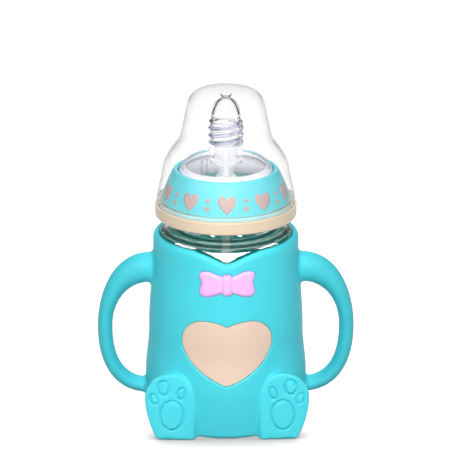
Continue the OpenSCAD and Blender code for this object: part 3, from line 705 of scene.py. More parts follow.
def soft_max(a, b, reach):
    """The larger of two distances, with a rounded edge of about that reach."""
    return -soft_min(-a, -b, reach)


def ease(t):
    """A smooth step from 0 to 1."""
    t = np.clip(t, 0, 1)
    return t * t * (3 - 2 * t)


def table_reader(table, low, step):
    """A function that reads a table of values over (across, up) between its points."""
    def read(across, up):
        u = np.clip((across - low[0]) / step, 0, table.shape[0] - 1.001)
        v = np.clip((up - low[1]) / step, 0, table.shape[1] - 1.001)
        i, j = u.astype(int), v.astype(int)
        f, g = u - i, v - j
        near = table[i, j] * (1 - f) + table[i + 1, j] * f
        far = table[i, j + 1] * (1 - f) + table[i + 1, j + 1] * f
        return near * (1 - g) + far * g
    return read


def stencil(line, closed=True, step=0.2, margin=9.0):
    """Readers over (across, up): distance to a line, below 0 inside a closed one, and its nearest height."""
    line = np.array(line, float)
    low = line.min(0) - margin
    size = np.ceil((line.max(0) + margin - low) / step).astype(int) + 1
    a = low[0] + step * np.arange(size[0])[:, None]
    b = low[1] + step * np.arange(size[1])[None, :]
    away = np.full(size, 1e9)
    height = np.zeros(size)
    inside = np.zeros(size, bool)
    ends = np.roll(line, -1, 0) if closed else line[1:]
    for p, q in zip(line, ends):
        run = q - p
        t = np.clip(((a - p[0]) * run[0] + (b - p[1]) * run[1]) / max(run @ run, 1e-12), 0, 1)
        d = np.hypot(a - p[0] - t * run[0], b - p[1] - t * run[1])
        height = np.where(d < away, p[1] + t * run[1], height)
        away = np.minimum(away, d)
        if closed and p[1] != q[1]:
            crossed = (p[1] > b) != (q[1] > b)
            inside ^= crossed & (a < p[0] + run[0] * (b - p[1]) / run[1])
    return table_reader(np.where(inside, -away, away), low, step), table_reader(height, low, step)


def mirrored(right_half):
    """A closed outline from its right half, which starts and ends on the middle line."""
    half_line = np.array(right_half)
    return np.vstack([half_line, half_line[::-1][1:-1] * (-1, 1)])


# %% Skin of a distance formula


def draw_in(points, distance, rounds=2, step=0.04):
    """Moves points onto the surface where the distance is 0."""
    for _ in range(rounds):
        x, y, z = points.T
        d = distance(x, y, z)
        slope = np.stack([
            distance(x + step, y, z) - distance(x - step, y, z),
            distance(x, y + step, z) - distance(x, y - step, z),
            distance(x, y, z + step) - distance(x, y, z - step)], 1) / (2 * step)
        steep = np.maximum((slope ** 2).sum(1), 0.25)
        move = np.clip(d / steep, -0.8, 0.8)
        points = points - slope * move[:, None]
    return points


def relax(points, edges, share=0.5):
    """Moves each point towards the middle of its neighbours."""
    total = np.zeros_like(points)
    count = np.zeros(len(points))
    for a, b in ((0, 1), (1, 0)):
        for axis in range(3):
            total[:, axis] += np.bincount(edges[:, a], points[edges[:, b], axis], len(points))
        count += np.bincount(edges[:, a], minlength=len(points))
    return points + share * (total / count[:, None] - points)


def skin(name, distance, low, high, cell, relief=None, splits=0):
    """A mesh of the surface where distance(x, y, z) is 0, with faces split where relief(points) is true."""
    axes = [np.arange(a - 2 * cell, b + 2 * cell, cell) for a, b in zip(low, high)]
    x, y, z = np.meshgrid(*axes, indexing="ij", sparse=True)
    field = np.ascontiguousarray(np.broadcast_to(distance(x, y, z), [len(a) for a in axes]), np.float32)
    grid = openvdb.FloatGrid(9.0)
    grid.copyFromArray(field)
    points, quads = grid.convertToQuads(0.0)
    points = points.astype(float) * cell + [a[0] for a in axes]
    made = finish_mesh(name, draw_in(points, distance), quads.tolist())
    for _ in range(splits):
        work = bmesh.new()
        work.from_mesh(made.data)
        chosen = relief(np.array([v.co for v in work.verts]) / MM)
        edges = {e for f in work.faces if any(chosen[v.index] for v in f.verts) for e in f.edges}
        bmesh.ops.subdivide_edges(work, edges=list(edges), cuts=1, use_grid_fill=True)
        work.to_mesh(made.data)
        work.free()
        settle(made, distance)
    return made


def settle(made, distance, rounds=3):
    """Evens out a mesh's points and draws them onto the surface again."""
    points = np.empty(len(made.data.vertices) * 3)
    made.data.vertices.foreach_get("co", points)
    points = points.reshape(-1, 3) / MM
    edges = np.empty(len(made.data.edges) * 2, int)
    made.data.edges.foreach_get("vertices", edges)
    for _ in range(rounds):
        points = draw_in(relax(points, edges.reshape(-1, 2)), distance, rounds=1)
    points = draw_in(points, distance, rounds=1)
    made.data.vertices.foreach_set("co", (points * MM).ravel())
    made.data.update()


# %% [markdown]
# ## The sleeve
# The wall swells to a belly near the foot, narrows at the waist and thins towards the rim. The rim dips
# in the middle of the front like the collar of a shirt. The same curve of radius against height is used
# by the inlays.

# %% Sleeve: body
BORE_R = GLASS_R + 0.3
SLEEVE_FLOOR = GLASS_FOOT
RIM_R = BORE_R + 2.9
WAIST_R = BORE_R + 5.4
BELLY_R = BORE_R + 7.3
FOOT_R = BORE_R + 7.2
WAIST_Z = 42.0
BELLY_Z = 19.0
RIM_ROUND = 3.4
FOOT_ROUND = 1.6
DIP_DEPTH = 5.4
DIP_HALF = 17.5
DIP_SOFT = 0.09


def sleeve_radius(z):
    """Outer radius of the sleeve at a height."""
    low = FOOT_R + (BELLY_R - FOOT_R) * ease(z / BELLY_Z)
    middle = BELLY_R + (WAIST_R - BELLY_R) * ease((z - BELLY_Z) / (WAIST_Z - BELLY_Z))
    high = WAIST_R + (RIM_R - WAIST_R) * ease((z - WAIST_Z) / (SLEEVE_TOP - RIM_ROUND - WAIST_Z))
    return np.where(z < BELLY_Z, low, np.where(z < WAIST_Z, middle, high))


def rim_height(x, y):
    """Height of the rim: level, but for the dip in the front."""
    def run(u):
        return np.sqrt(u * u + DIP_SOFT ** 2) - DIP_SOFT
    u = np.minimum(np.abs(x) / DIP_HALF, 1)
    dip = DIP_DEPTH * np.maximum(1 - run(u) / run(1.0), 0) ** 1.6
    return SLEEVE_TOP - np.where(y < 0, dip, 0)


def body_distance(x, y, z):
    """The solid body with a rounded foot, before the bore."""
    return soft_max(np.hypot(x, y) - sleeve_radius(z), -z, FOOT_ROUND)


print("rim", RIM_R, "waist", WAIST_R, "belly", BELLY_R)

# %% [markdown]
# Each handle is a loop that leaves the wall thick at the top, thins round the side and comes back low
# down. Its middle line is an ellipse with a squarer lower half. The distance to that line is worked out
# once on a flat table, because the loop lies in one plane.

# %% Sleeve: handles
HANDLE_IN = RIM_R + 2.0
HANDLE_THICK = 3.5
HANDLE_THICK_TOP = 7.2
HANDLE_DEEP = 5.0
HANDLE_DEEP_TOP = 6.5
HANDLE_HIGH = SLEEVE_TOP - 18.5
HANDLE_LOW = 11.5
HANDLE_MID = (HANDLE_HIGH + HANDLE_LOW) / 2
HANDLE_HALF = (HANDLE_HIGH - HANDLE_LOW) / 2
HANDLE_REACH = HANDLE_OUT - HANDLE_THICK - HANDLE_IN
SECTION_POWER = 2.0
HANDLE_HOLLOW = 2.2

swing = np.linspace(math.pi / 2, -math.pi / 2, 161)
square = np.where(swing > 0, 1.0, 0.84)
loop = np.stack([
    HANDLE_IN + HANDLE_REACH * np.abs(np.cos(swing)) ** square,
    HANDLE_MID + HANDLE_HALF * np.sign(np.sin(swing)) * np.abs(np.sin(swing)) ** square], 1)
loop = np.vstack([[BORE_R, HANDLE_HIGH], loop, [BORE_R, HANDLE_LOW]])
loop_away, loop_height = stencil(loop, closed=False, margin=14.0)


def handle_distance(side, y, z):
    """One handle, on the side where side is positive."""
    up = np.clip((loop_height(side, z) - HANDLE_MID) / HANDLE_HALF, 0, 1)
    thick = HANDLE_THICK + (HANDLE_THICK_TOP - HANDLE_THICK) * up ** 2.5
    deep = HANDLE_DEEP + (HANDLE_DEEP_TOP - HANDLE_DEEP) * up ** 2
    share = (loop_away(side, z) / thick) ** SECTION_POWER + (np.abs(y) / deep) ** SECTION_POWER
    return (share ** (1 / SECTION_POWER) - 1) * thick


print("handles reach from", HANDLE_LOW, "to", round(HANDLE_HIGH, 1), "mm")

# %% [markdown]
# A paw is an outline that leans back a little, carried back into the body while it turns towards the
# middle. Its pads stand up from the sole, each with a fine groove round it, which is added to the sole as
# a height.

# %% Sleeve: paws
PAW_X = 27.0
PAW_Y = BELLY_R + 0.6
PAW_HALF_W = 11.7
PAW_H = 31.0
PAW_SINK = 0.3
PAW_LEAN = math.radians(10)
PAW_SPLAY = math.radians(3)
PAW_TURN = math.radians(22)
PAW_LONG = 19.0
PAW_EDGE = 1.6
PAW_FOOT_ROUND = 1.2
PAW_HOLLOW = 0.6
PAD_PROUD = 0.45
PAD_RISE_W = 1.4
PAD_GROOVE = 1.3
PAD_GROOVE_W = 0.48
PADS = (
    (-0.094, 0.376, 0.453, 0.221, 0),
    (0.231, 0.793, 0.222, 0.103, 0),
    (0.615, 0.624, 0.128, 0.079, -24),
    (-0.462, 0.710, 0.137, 0.083, 6),
)

paw_line = chain(
    bezier((0.48, 0), (0.75, 0.13), (1, 0.42), (1, 0.63)),
    bezier((1, 0.63), (1, 0.87), (0.5, 1), (-0.1, 1)),
    bezier((-0.1, 1), (-0.7, 1), (-1, 0.78), (-1, 0.47)),
    bezier((-1, 0.47), (-1, 0.27), (-0.98, 0.1), (-0.94, -0.2)),
) * (PAW_HALF_W, PAW_H)
paw_line = np.vstack([[0.40 * PAW_HALF_W, -0.2 * PAW_H], paw_line])
paw_away, _ = stencil(paw_line)


def pad_edges(across, up):
    """Distance to the rim of each pad on a sole, below 0 inside it."""
    edges = []
    for out, rise, half_w, half_h, angle in PADS:
        c, s = math.cos(math.radians(angle)), math.sin(math.radians(angle))
        a, b = across - out * PAW_HALF_W, up - rise * PAW_H
        u, v = (a * c + b * s) / (half_w * PAW_HALF_W), (b * c - a * s) / (half_h * PAW_H)
        k = np.sqrt(u * u + v * v) + 1e-6
        slope = np.sqrt((u / (half_w * PAW_HALF_W)) ** 2 + (v / (half_h * PAW_H)) ** 2) / k + 1e-6
        edges.append((k - 1) / slope)
    return edges


def on_sole(side, y, z):
    """Place on the sole of a paw, outward and up, and the depth behind it."""
    c, s = math.cos(PAW_SPLAY), math.sin(PAW_SPLAY)
    across = (side - PAW_X) * c + (y + PAW_Y) * s
    back = (y + PAW_Y) * c - (side - PAW_X) * s
    depth = back - z * math.tan(PAW_LEAN)
    return across + depth * math.tan(PAW_TURN), z / math.cos(PAW_LEAN), depth


def paw_distance(side, y, z):
    """One paw, on the side where side is positive."""
    across, up, depth = on_sole(side, y, z)
    height = 0
    for edge in pad_edges(across, up):
        groove = PAD_GROOVE * np.exp(-(edge / PAD_GROOVE_W) ** 2)
        height = height + PAD_PROUD * ease(0.5 - edge / PAD_RISE_W) - groove
    wall = paw_away(across, z * PAW_H / (PAW_H - PAW_SINK * np.clip(depth, 0, PAW_LONG)))
    wall = wall - np.clip(depth / PAW_LONG, 0, 1)
    sole = -(depth + height) * math.cos(PAW_LEAN)
    solid = soft_max(soft_max(wall, sole, PAW_EDGE), -z, PAW_FOOT_ROUND)
    return np.maximum(solid, depth - PAW_LONG)


print("paws", 2 * PAW_HALF_W, "mm wide and", PAW_H, "mm high, with", len(PADS), "pads each")

# %% [markdown]
# The heart and the bow lie in pockets with softly rounded rims. Their outlines are half curves that are
# mirrored, and the same outline, drawn in a little, later makes the inlay that fills the pocket.

# %% Sleeve: pockets
HEART_LOW, HEART_HIGH, heart_half_w = span("heart_inlay")
BOW_LOW, BOW_HIGH, bow_half_w = span("bow_tie")
POCKET_GAP = 0.25
POCKET_DEPTH = 1.2
POCKET_EDGE = 0.7
HEART_W = heart_half_w + POCKET_GAP
HEART_Z = HEART_LOW - POCKET_GAP
HEART_H = HEART_HIGH - HEART_LOW + 2 * POCKET_GAP
BOW_W = bow_half_w + POCKET_GAP
BOW_Z = (BOW_LOW + BOW_HIGH) / 2
BOW_H = (BOW_HIGH - BOW_LOW) / 2 + POCKET_GAP
KNOT_W = 2.3
KNOT_H = 4.9
KNOT_POWER = 6.0

heart_line = mirrored(chain(
    bezier((0, 0.915), (0.12, 0.972), (0.3, 1), (0.51, 1)),
    bezier((0.51, 1), (0.79, 1), (1, 0.845), (1, 0.655)),
    bezier((1, 0.655), (1, 0.375), (0.53, 0.12), (0, 0)),
) * (HEART_W, HEART_H) + (0, HEART_Z))
bow_line = mirrored(chain(
    bezier((0, 0.5), (0.2, 0.55), (0.45, 0.88), (0.62, 0.96)),
    bezier((0.62, 0.96), (0.82, 1.04), (1, 0.9), (1, 0.62)),
    bezier((1, 0.62), (1, 0.36), (0.94, 0.3), (0.94, 0.05)),
    bezier((0.94, 0.05), (0.94, -0.2), (1, -0.3), (1, -0.58)),
    bezier((1, -0.58), (1, -0.88), (0.86, -1.05), (0.66, -0.97)),
    bezier((0.66, -0.97), (0.45, -0.9), (0.2, -0.6), (0, -0.52)),
) * (BOW_W, BOW_H) + (0, BOW_Z))
heart_away, _ = stencil(heart_line)
bow_away, _ = stencil(bow_line)
HEART_FLOOR_R = float(sleeve_radius(np.array(HEART_HIGH + POCKET_GAP))) - POCKET_DEPTH
BOW_FLOOR_R = float(sleeve_radius(np.array(BOW_HIGH + POCKET_GAP))) - POCKET_DEPTH


def knot_away(x, z):
    """Distance to the rounded block of the bow's knot."""
    share = (np.abs(x) / KNOT_W) ** KNOT_POWER + (np.abs(z - BOW_Z) / KNOT_H) ** KNOT_POWER
    return (share ** (1 / KNOT_POWER) - 1) * KNOT_W


print("heart", round(2 * HEART_W, 1), "mm wide, bow", round(2 * BOW_W, 1), "mm wide")

# %% [markdown]
# Now the parts are summed up: body, handles and paws melt together, the rim is trimmed, and the bore and
# the pockets are cut. Faces are split only where there is fine relief, because the wide soft forms don't
# need them.

# %% Sleeve: skin
BORE_EDGE = 1.2
SLEEVE_CELL = 1.1
SLEEVE_SPLITS = 2
PAD_BAND = 1.0
POCKET_BAND = 1.1
SOLE_BAND = 1.2
SOLE_DEEP = 2.5
EDGE_DEEP = 3.5
NOT_IN_FRONT = 30.0


def front_only(away, y):
    """Keeps an outline to the front half."""
    return np.where(y < 0, away, NOT_IN_FRONT)


def sleeve_distance(x, y, z):
    """The whole sleeve."""
    side = np.abs(x)
    r = np.hypot(x, y)
    solid = soft_min(body_distance(x, y, z), handle_distance(side, y, z), HANDLE_HOLLOW)
    solid = soft_min(solid, paw_distance(side, y, z), PAW_HOLLOW)
    solid = soft_max(solid, z - rim_height(x, y), RIM_ROUND)
    bore = np.maximum(r - BORE_R, SLEEVE_FLOOR - z)
    solid = soft_max(solid, -bore, BORE_EDGE)
    heart = np.maximum(heart_away(x, z), HEART_FLOOR_R - r)
    bow = np.maximum(np.minimum(bow_away(x, z), knot_away(x, z)), BOW_FLOOR_R - r)
    solid = soft_max(solid, -front_only(heart, y), POCKET_EDGE)
    return soft_max(solid, -front_only(bow, y), POCKET_EDGE)


def sleeve_relief(points):
    """True near the pockets' rims, the pads and the edges of the soles."""
    x, y, z = points.T
    outer = (np.hypot(x, y) > BORE_R + 0.6) & (y < 0)
    across, up, depth = on_sole(np.abs(x), y, z)
    pad = np.minimum.reduce([np.abs(e) for e in pad_edges(across, up)])
    edge = (np.abs(paw_away(across, z)) < SOLE_BAND) & (depth > -SOLE_BAND) & (depth < EDGE_DEEP)
    sole = ((np.abs(depth) < SOLE_DEEP) & (pad < PAD_BAND)) | edge
    bow = np.minimum(bow_away(x, z), knot_away(x, z))
    pocket = np.minimum(np.abs(heart_away(x, z)), np.abs(bow)) < POCKET_BAND
    return outer & (sole | pocket)


sleeve = skin(
    "silicone_sleeve_skin", sleeve_distance, (-HANDLE_OUT, -PAW_Y - 1, 0), (HANDLE_OUT, BELLY_R, SLEEVE_TOP),
    SLEEVE_CELL, sleeve_relief, SLEEVE_SPLITS)
dress(sleeve, "sleeve", "turquoise_silicone", turquoise_silicone, "silicone_sleeve")

# %% [markdown]
# ## The inlays
# The heart is a flat-faced pad that follows the curve of the sleeve, a little below its surface. The bow
# stands out, with cushioned wings that are pinched towards a raised knot. Both are separate mouldings in
# another colour, so each is its own piece.

# %% Heart and bow
HEART_INSET = 0.5
INLAY_EDGE = 0.7
FIT = 0.06
BOND = 0.05
BOW_PROUD = 0.9
KNOT_PROUD = 0.8
WING_CROWN = 0.5
WING_RISE = 1.5
KNOT_EDGE = 1.3
KNOT_CURVE = 0.025
KNOT_HOLLOW = 0.25
HEART_CELL = 0.6
HEART_BAND = 1.6
HEART_BACK_Y = -24
BOW_CELL = 0.5
BOW_BACK_Y = -28


def heart_distance(x, y, z):
    """The heart's pad, between the floor of its pocket and just under the sleeve's surface."""
    r = np.hypot(x, y)
    face = r - (sleeve_radius(z) - HEART_INSET)
    solid = soft_max(heart_away(x, z) + FIT, face, INLAY_EDGE)
    return front_only(np.maximum(solid, HEART_FLOOR_R + BOND - r), y)


def bow_distance(x, y, z):
    """The bow: two cushioned wings and a knot."""
    r = np.hypot(x, y)
    wing = bow_away(x, z) + FIT
    knot = knot_away(x, z) + FIT
    surface = r - sleeve_radius(z) - BOW_PROUD
    wings = soft_max(wing, surface - WING_CROWN * ease(-wing / WING_RISE) + WING_CROWN, INLAY_EDGE)
    block = soft_max(knot, surface - KNOT_PROUD + KNOT_CURVE * x * x, KNOT_EDGE)
    solid = soft_min(wings, block, KNOT_HOLLOW)
    return front_only(np.maximum(solid, BOW_FLOOR_R + BOND - r), y)


def heart_edge(points):
    """True near the edge of the heart."""
    return np.abs(heart_away(points[:, 0], points[:, 2])) < HEART_BAND


def everywhere(points):
    """True for all points."""
    return np.ones(len(points), bool)


heart = skin(
    "heart_inlay_pad", heart_distance, (-HEART_W, -BELLY_R, HEART_Z),
    (HEART_W, HEART_BACK_Y, HEART_Z + HEART_H), HEART_CELL, heart_edge, 1)
dress(heart, "sleeve", "peach_silicone", peach_silicone, "heart_inlay")
bow = skin(
    "bow_tie_pad", bow_distance, (-BOW_W, -BELLY_R, BOW_Z - BOW_H),
    (BOW_W, BOW_BACK_Y, BOW_Z + BOW_H), BOW_CELL, everywhere, 1)
dress(bow, "sleeve", "pink_silicone", pink_silicone, "bow_tie")

# %% [markdown]
# ## The glass
# A blown bottle has a thick base, an even wall, a tight shoulder and a thick neck with a screw ridge.
# Both faces of the wall are in one closed outline, because refraction needs the far side of the wall as
# well.

# %% Glass bottle
GLASS_WALL = 2.4
GLASS_BASE = 4.0
GLASS_FOOT_R = 5.0
NECK_R = 24.6
NECK_WALL = 2.6
BODY_TOP = SLEEVE_TOP - 1.0
SHOULDER_TOP = BODY_TOP + 5.5
SHOULDER_ROUND = 2.6
GLASS_RIM_ROUND = 0.9
SHOULDER_TURN = math.radians(62)
THREAD_LEAD = 4.5
THREAD_TURNS = 1.5
THREAD_DEEP = 1.6
THREAD_W = 2.1
THREAD_CREST_W = 0.9
THREAD_Z = GLASS_RIM - THREAD_TURNS * THREAD_LEAD - 2.75


def shoulder(body_r, neck_r, base, size, top):
    """A tight turn inwards at the top of the body, a slope, and a hollow up into the neck."""
    turn = arc((body_r - size, base), size, 0, math.degrees(SHOULDER_TURN), 12)
    last = turn[-1]
    run = (last[0] - neck_r) * 0.6
    on = last + run * np.array((-math.sin(SHOULDER_TURN), math.cos(SHOULDER_TURN)))
    return chain(turn, bezier(last, on, (neck_r, top - (top - last[1]) * 0.3), (neck_r, top), 12))


def glass_outline():
    """Outside up, over the rim and down the inside."""
    in_r = GLASS_R - GLASS_WALL
    in_foot = GLASS_FOOT_R - GLASS_WALL / 2
    floor_z = GLASS_FOOT + GLASS_BASE
    neck_in = NECK_R - NECK_WALL
    rim_z = GLASS_RIM - GLASS_RIM_ROUND
    return np.vstack([
        [(0, GLASS_FOOT)],
        arc((GLASS_R - GLASS_FOOT_R, GLASS_FOOT + GLASS_FOOT_R), GLASS_FOOT_R, -90, 0),
        shoulder(GLASS_R, NECK_R, BODY_TOP, SHOULDER_ROUND, SHOULDER_TOP),
        arc((NECK_R - GLASS_RIM_ROUND, rim_z), GLASS_RIM_ROUND, 0, 90),
        arc((neck_in + GLASS_RIM_ROUND, rim_z), GLASS_RIM_ROUND, 90, 180),
        shoulder(in_r, neck_in, BODY_TOP - GLASS_WALL / 2, SHOULDER_ROUND - GLASS_WALL / 2,
                 SHOULDER_TOP - GLASS_WALL * 0.6)[::-1],
        arc((in_r - in_foot, floor_z + in_foot), in_foot, 0, -90),
        [(0, floor_z)]])


glass = turned("glass_bottle_wall", glass_outline())
glass_ridge = ridge(
    "glass_ridge", NECK_R, NECK_R + THREAD_DEEP, THREAD_Z, THREAD_LEAD, THREAD_TURNS,
    THREAD_W, THREAD_CREST_W)
join(glass, glass_ridge)
dress(glass, "bottle", "clear_glass", clear_glass, "glass_bottle")

# %% [markdown]
# Glass shows by what it mirrors. The slope of its shoulder mirrors what lies low in front of it and at
# its sides, so three bright cards stand there, as a photographer would place them. Light linking keeps
# them from lighting anything but the glass.

# %% Cards for the glass
only_glass = bpy.data.collections.new("lit_by_the_cards")
only_glass.objects.link(glass)
for place, target, size, power in (
        ((0.0, -0.36, 0.012), (0.0, -0.36, 1.0), (0.6, 0.30), 28.0),
        ((-0.40, -0.10, 0.20), (0.0, 0.0, 0.09), (0.30, 0.30), 9.0),
        ((0.40, -0.10, 0.20), (0.0, 0.0, 0.09), (0.30, 0.30), 9.0)):
    card = softbox("glass_card", place, target, size, power)
    card.visible_diffuse = False
    card.light_linking.receiver_collection = only_glass

# %% [markdown]
# ## Collar and ring
# The collar is a smooth rounded dome with a wide hole for the teat, and a screw ridge inside. The cream
# ring is pushed over its foot and carries the dust cap.

# %% Screw collar
THREAD_GAP = 0.7
THREAD_PLAY = 0.35
COLLAR_IN_R = NECK_R + THREAD_DEEP + THREAD_GAP
FLANGE_TOP = TEAT_FOOT + 2.0
SKIRT_R = NECK_R - 2.8
OPENING_R = SKIRT_R + 0.5
LIP_R = 0.9
FLANK_LEAN = (THREAD_W - THREAD_CREST_W) / (2 * THREAD_DEEP)
RIDGE_DROP = THREAD_W / 2 + THREAD_CREST_W / 2 + THREAD_PLAY - THREAD_GAP * FLANK_LEAN


def collar_side():
    """The collar's outside from the top of the ring to its lip."""
    outer_lip = OPENING_R + 2 * LIP_R
    rise = COLLAR_TOP - RING_TOP
    draw = COLLAR_R - outer_lip
    return bezier(
        (COLLAR_R, RING_TOP), (COLLAR_R - draw * 0.04, RING_TOP + rise * 0.36),
        (outer_lip + draw * 0.33, COLLAR_TOP - rise * 0.2), (outer_lip, COLLAR_TOP - LIP_R * 0.4), 24)


collar = turned("screw_collar_shell", np.vstack([
    rounded([(COLLAR_IN_R, COLLAR_FOOT, 0), (COLLAR_R, COLLAR_FOOT, 0.4), (COLLAR_R, RING_TOP, 0)])[:-1],
    collar_side(),
    arc((OPENING_R + LIP_R, COLLAR_TOP - LIP_R), LIP_R, 65, 180),
    [(OPENING_R, FLANGE_TOP), (COLLAR_IN_R, FLANGE_TOP)]]))
collar_ridge = ridge(
    "collar_ridge", COLLAR_IN_R, NECK_R + THREAD_GAP, THREAD_Z - RIDGE_DROP, THREAD_LEAD,
    THREAD_TURNS * 0.75, THREAD_W, THREAD_CREST_W)
join(collar, collar_ridge)
dress(collar, "collar", "turquoise_plastic", turquoise_plastic, "screw_collar")

# %% Cream ring
RING_IN_R = COLLAR_R + 0.1
RING_LIP_R = COLLAR_R - 2.2
ring = turned("collar_ring_shell", rounded([
    (RING_LIP_R, RING_FOOT, 0.2), (RING_R, RING_FOOT, 0.8), (RING_R, RING_TOP, 0.7),
    (RING_IN_R, RING_TOP, 0.2), (RING_IN_R, COLLAR_FOOT, 0), (RING_LIP_R, COLLAR_FOOT, 0.2)]))
dress(ring, "collar", "cream_plastic", cream_plastic, "collar_base_ring")

# %% [markdown]
# The collar carries a printed band. Here it is a plain row of hearts with dots between them. Pad printing
# leaves a thin, even film of ink, so each mark is a thin closed sheet that lies on the collar's curve. A
# texture mask would also do, but geometry keeps a crisp edge at any distance.

# %% Printed band
INK_THICK = 0.06
INK_LIFT = 0.02
side_curve = collar_side()


def collar_radius(z):
    """Outer radius of the collar at a height."""
    return np.interp(z, side_curve[:, 1], side_curve[:, 0])


def printed_mark(line, angle, middle_z, rings=5):
    """Points and faces of one printed mark: an outline filled with rings, laid round the collar."""
    verts, layers = [], []
    for lift in (INK_LIFT, INK_LIFT + INK_THICK):
        loops = []
        for k in range(rings, 0, -1):
            loops.append(list(range(len(verts), len(verts) + len(line))))
            for across, up in np.array(line) * k / rings:
                z = middle_z + up
                r = collar_radius(z) + lift
                turn = angle + across / collar_radius(middle_z)
                verts.append((r * math.sin(turn), -r * math.cos(turn), z))
        loops.append([len(verts)])
        r = collar_radius(middle_z) + lift
        verts.append((r * math.sin(angle), -r * math.cos(angle), middle_z))
        layers.append(loops)
    lower, upper = layers
    faces = rings_to_faces(lower, False) + rings_to_faces(upper, False)
    return verts, faces + rings_to_faces([lower[0], upper[0]], False)


small_heart = mirrored(chain(
    bezier((0, 0.55), (0.16, 1.0), (0.5, 1.08), (0.78, 0.94), 8),
    bezier((0.78, 0.94), (1.12, 0.76), (1.06, 0.2), (0.72, -0.18), 8),
    bezier((0.72, -0.18), (0.48, -0.46), (0.14, -0.74), (0, -1.0), 8),
))
dot_angle = np.linspace(0, 2 * math.pi, 25)[:-1]
dot = np.stack([np.cos(dot_angle), np.sin(dot_angle)], 1)

HEARTS_ROUND = 10
HEART_MARK = 4.1
DOT_MARK = 0.95
BAND_Z = RING_TOP + 6.6
verts, faces = [], []
for k in range(HEARTS_ROUND):
    angle = 2 * math.pi * k / HEARTS_ROUND
    step = math.pi / HEARTS_ROUND
    for line, turn, z in (
            (small_heart * HEART_MARK, angle, BAND_Z),
            (dot * DOT_MARK, angle + step, BAND_Z + 2.0),
            (dot * DOT_MARK * 1.25, angle + step, BAND_Z - 1.6)):
        more, sides = printed_mark(line, turn, z)
        faces += [[i + len(verts) for i in side] for side in sides]
        verts += more
band = finish_mesh("printed_band", verts, faces)
band.data.materials.append(print_ink)
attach(band, "collar")
print("printed band has", len(band.data.polygons), "faces")

# %% [markdown]
# ## The teat
# The teat is one clear silicone moulding. A flange lies under the collar, a wide dome rises to a stem
# with a pair of right-hand spiral ribs, and a smooth tip ends in a small lip with the feeding hole. The
# ribs are not separate sweeps: they are added to the stem's radius as a function of angle and height, so
# they melt into the wall.

# %% Teat: outline
TEAT_WALL = 1.8
TIP_WALL = 0.8
DOME_FOOT = FLANGE_TOP + 3.5
DOME_H = 9.7
DOME_TOP_R = 9.2
STEM_FOOT = DOME_FOOT + DOME_H
STEM_R = 7.2
STEM_H = 16.5
TIP_FOOT = STEM_FOOT + STEM_H
TIP_R = 6.7
TIP_H = 10.3
TIP_TOP = TIP_FOOT + TIP_H
LIP_TOP_R = 2.8
LIP_WAIST_R = 2.0
FEED_R = 0.4
RIB_PITCH = 3.5
RIB_DEEP = 0.9
SEAT_Z = STEM_FOOT - 2.8
STEM_BORE_R = STEM_R - TEAT_WALL


def teat_outline():
    """Outside from the flange up to the tip, through the hole and down the inside."""
    in_r = SKIRT_R - TEAT_WALL
    spread = SKIRT_R - DOME_TOP_R
    dome = bezier(
        (SKIRT_R, DOME_FOOT), (SKIRT_R, DOME_FOOT + DOME_H * 0.66),
        (DOME_TOP_R + spread * 0.5, STEM_FOOT - DOME_H * 0.15), (DOME_TOP_R, STEM_FOOT), 20)
    in_dome = bezier(
        (SEAT_R + 0.6, SEAT_Z), (DOME_TOP_R + spread * 0.4, SEAT_Z - DOME_H * 0.07),
        (in_r, DOME_FOOT + DOME_H * 0.5), (in_r, DOME_FOOT), 20)
    foot = bezier(
        (DOME_TOP_R, STEM_FOOT), (STEM_R + 0.5, STEM_FOOT + 0.5), (STEM_R, STEM_FOOT + 0.9),
        (STEM_R, STEM_FOOT + 2.0), 6)
    stem = np.stack([np.full(71, STEM_R), np.linspace(STEM_FOOT + 2.0, TIP_FOOT - 0.6, 71)], 1)
    angle = np.radians(np.linspace(0, 72, 19))
    tip = np.stack([TIP_R * np.cos(angle), TIP_FOOT + TIP_H * (0.25 + 0.75 * np.sin(angle))], 1)
    lip = rounded([
        (tip[-1][0], tip[-1][1], 0), (LIP_WAIST_R, TIP_TOP + 0.1, 0.3), (LIP_TOP_R, TEAT_TOP - 0.25, 0.25),
        (LIP_TOP_R - 0.4, TEAT_TOP, 0.2), (FEED_R, TIP_TOP, 0.2), (FEED_R, TIP_TOP - TIP_WALL, 0)])[1:-1]
    inner = np.radians(np.linspace(84, 0, 15))
    in_tip = np.stack([
        (TIP_R - TIP_WALL) * np.cos(inner), TIP_FOOT + (TIP_H - TIP_WALL) * np.sin(inner)], 1)
    wide_r = STEM_R - TIP_WALL
    return np.vstack([
        rounded([(in_r, TEAT_FOOT, 0), (FLANGE_R, TEAT_FOOT, 0.4), (FLANGE_R, FLANGE_TOP, 0.4),
                 (SKIRT_R, FLANGE_TOP, 0)]),
        dome, foot[1:], stem[1:], [(TIP_R, TIP_FOOT)], tip, lip,
        [(FEED_R, TIP_TOP - TIP_WALL)], in_tip,
        [(wide_r, TIP_FOOT - TIP_WALL), (wide_r, PLUG_TOP + 1.7), (STEM_BORE_R, PLUG_TOP + 0.6),
         (STEM_BORE_R, SEAT_Z)], in_dome])


def ribbed(angle, r, z):
    """The stem's radius with its two spiral ribs, which fade out at both ends."""
    low, high = STEM_FOOT + 0.8, TIP_FOOT - 0.2
    if abs(r - STEM_R) > 0.35 or not low < z < high:
        return np.full(len(angle), r)
    phase = (z - STEM_FOOT) / RIB_PITCH - angle / math.pi
    wave = np.abs((phase % 1.0) - 0.5) * 2
    fade = float(ease(min(z - low, high - z) / 1.6))
    return r + RIB_DEEP * fade * ease((0.62 - wave) / 0.42)


print("teat's dome from", round(DOME_FOOT, 1), "mm, stem from", round(STEM_FOOT, 1), "mm")

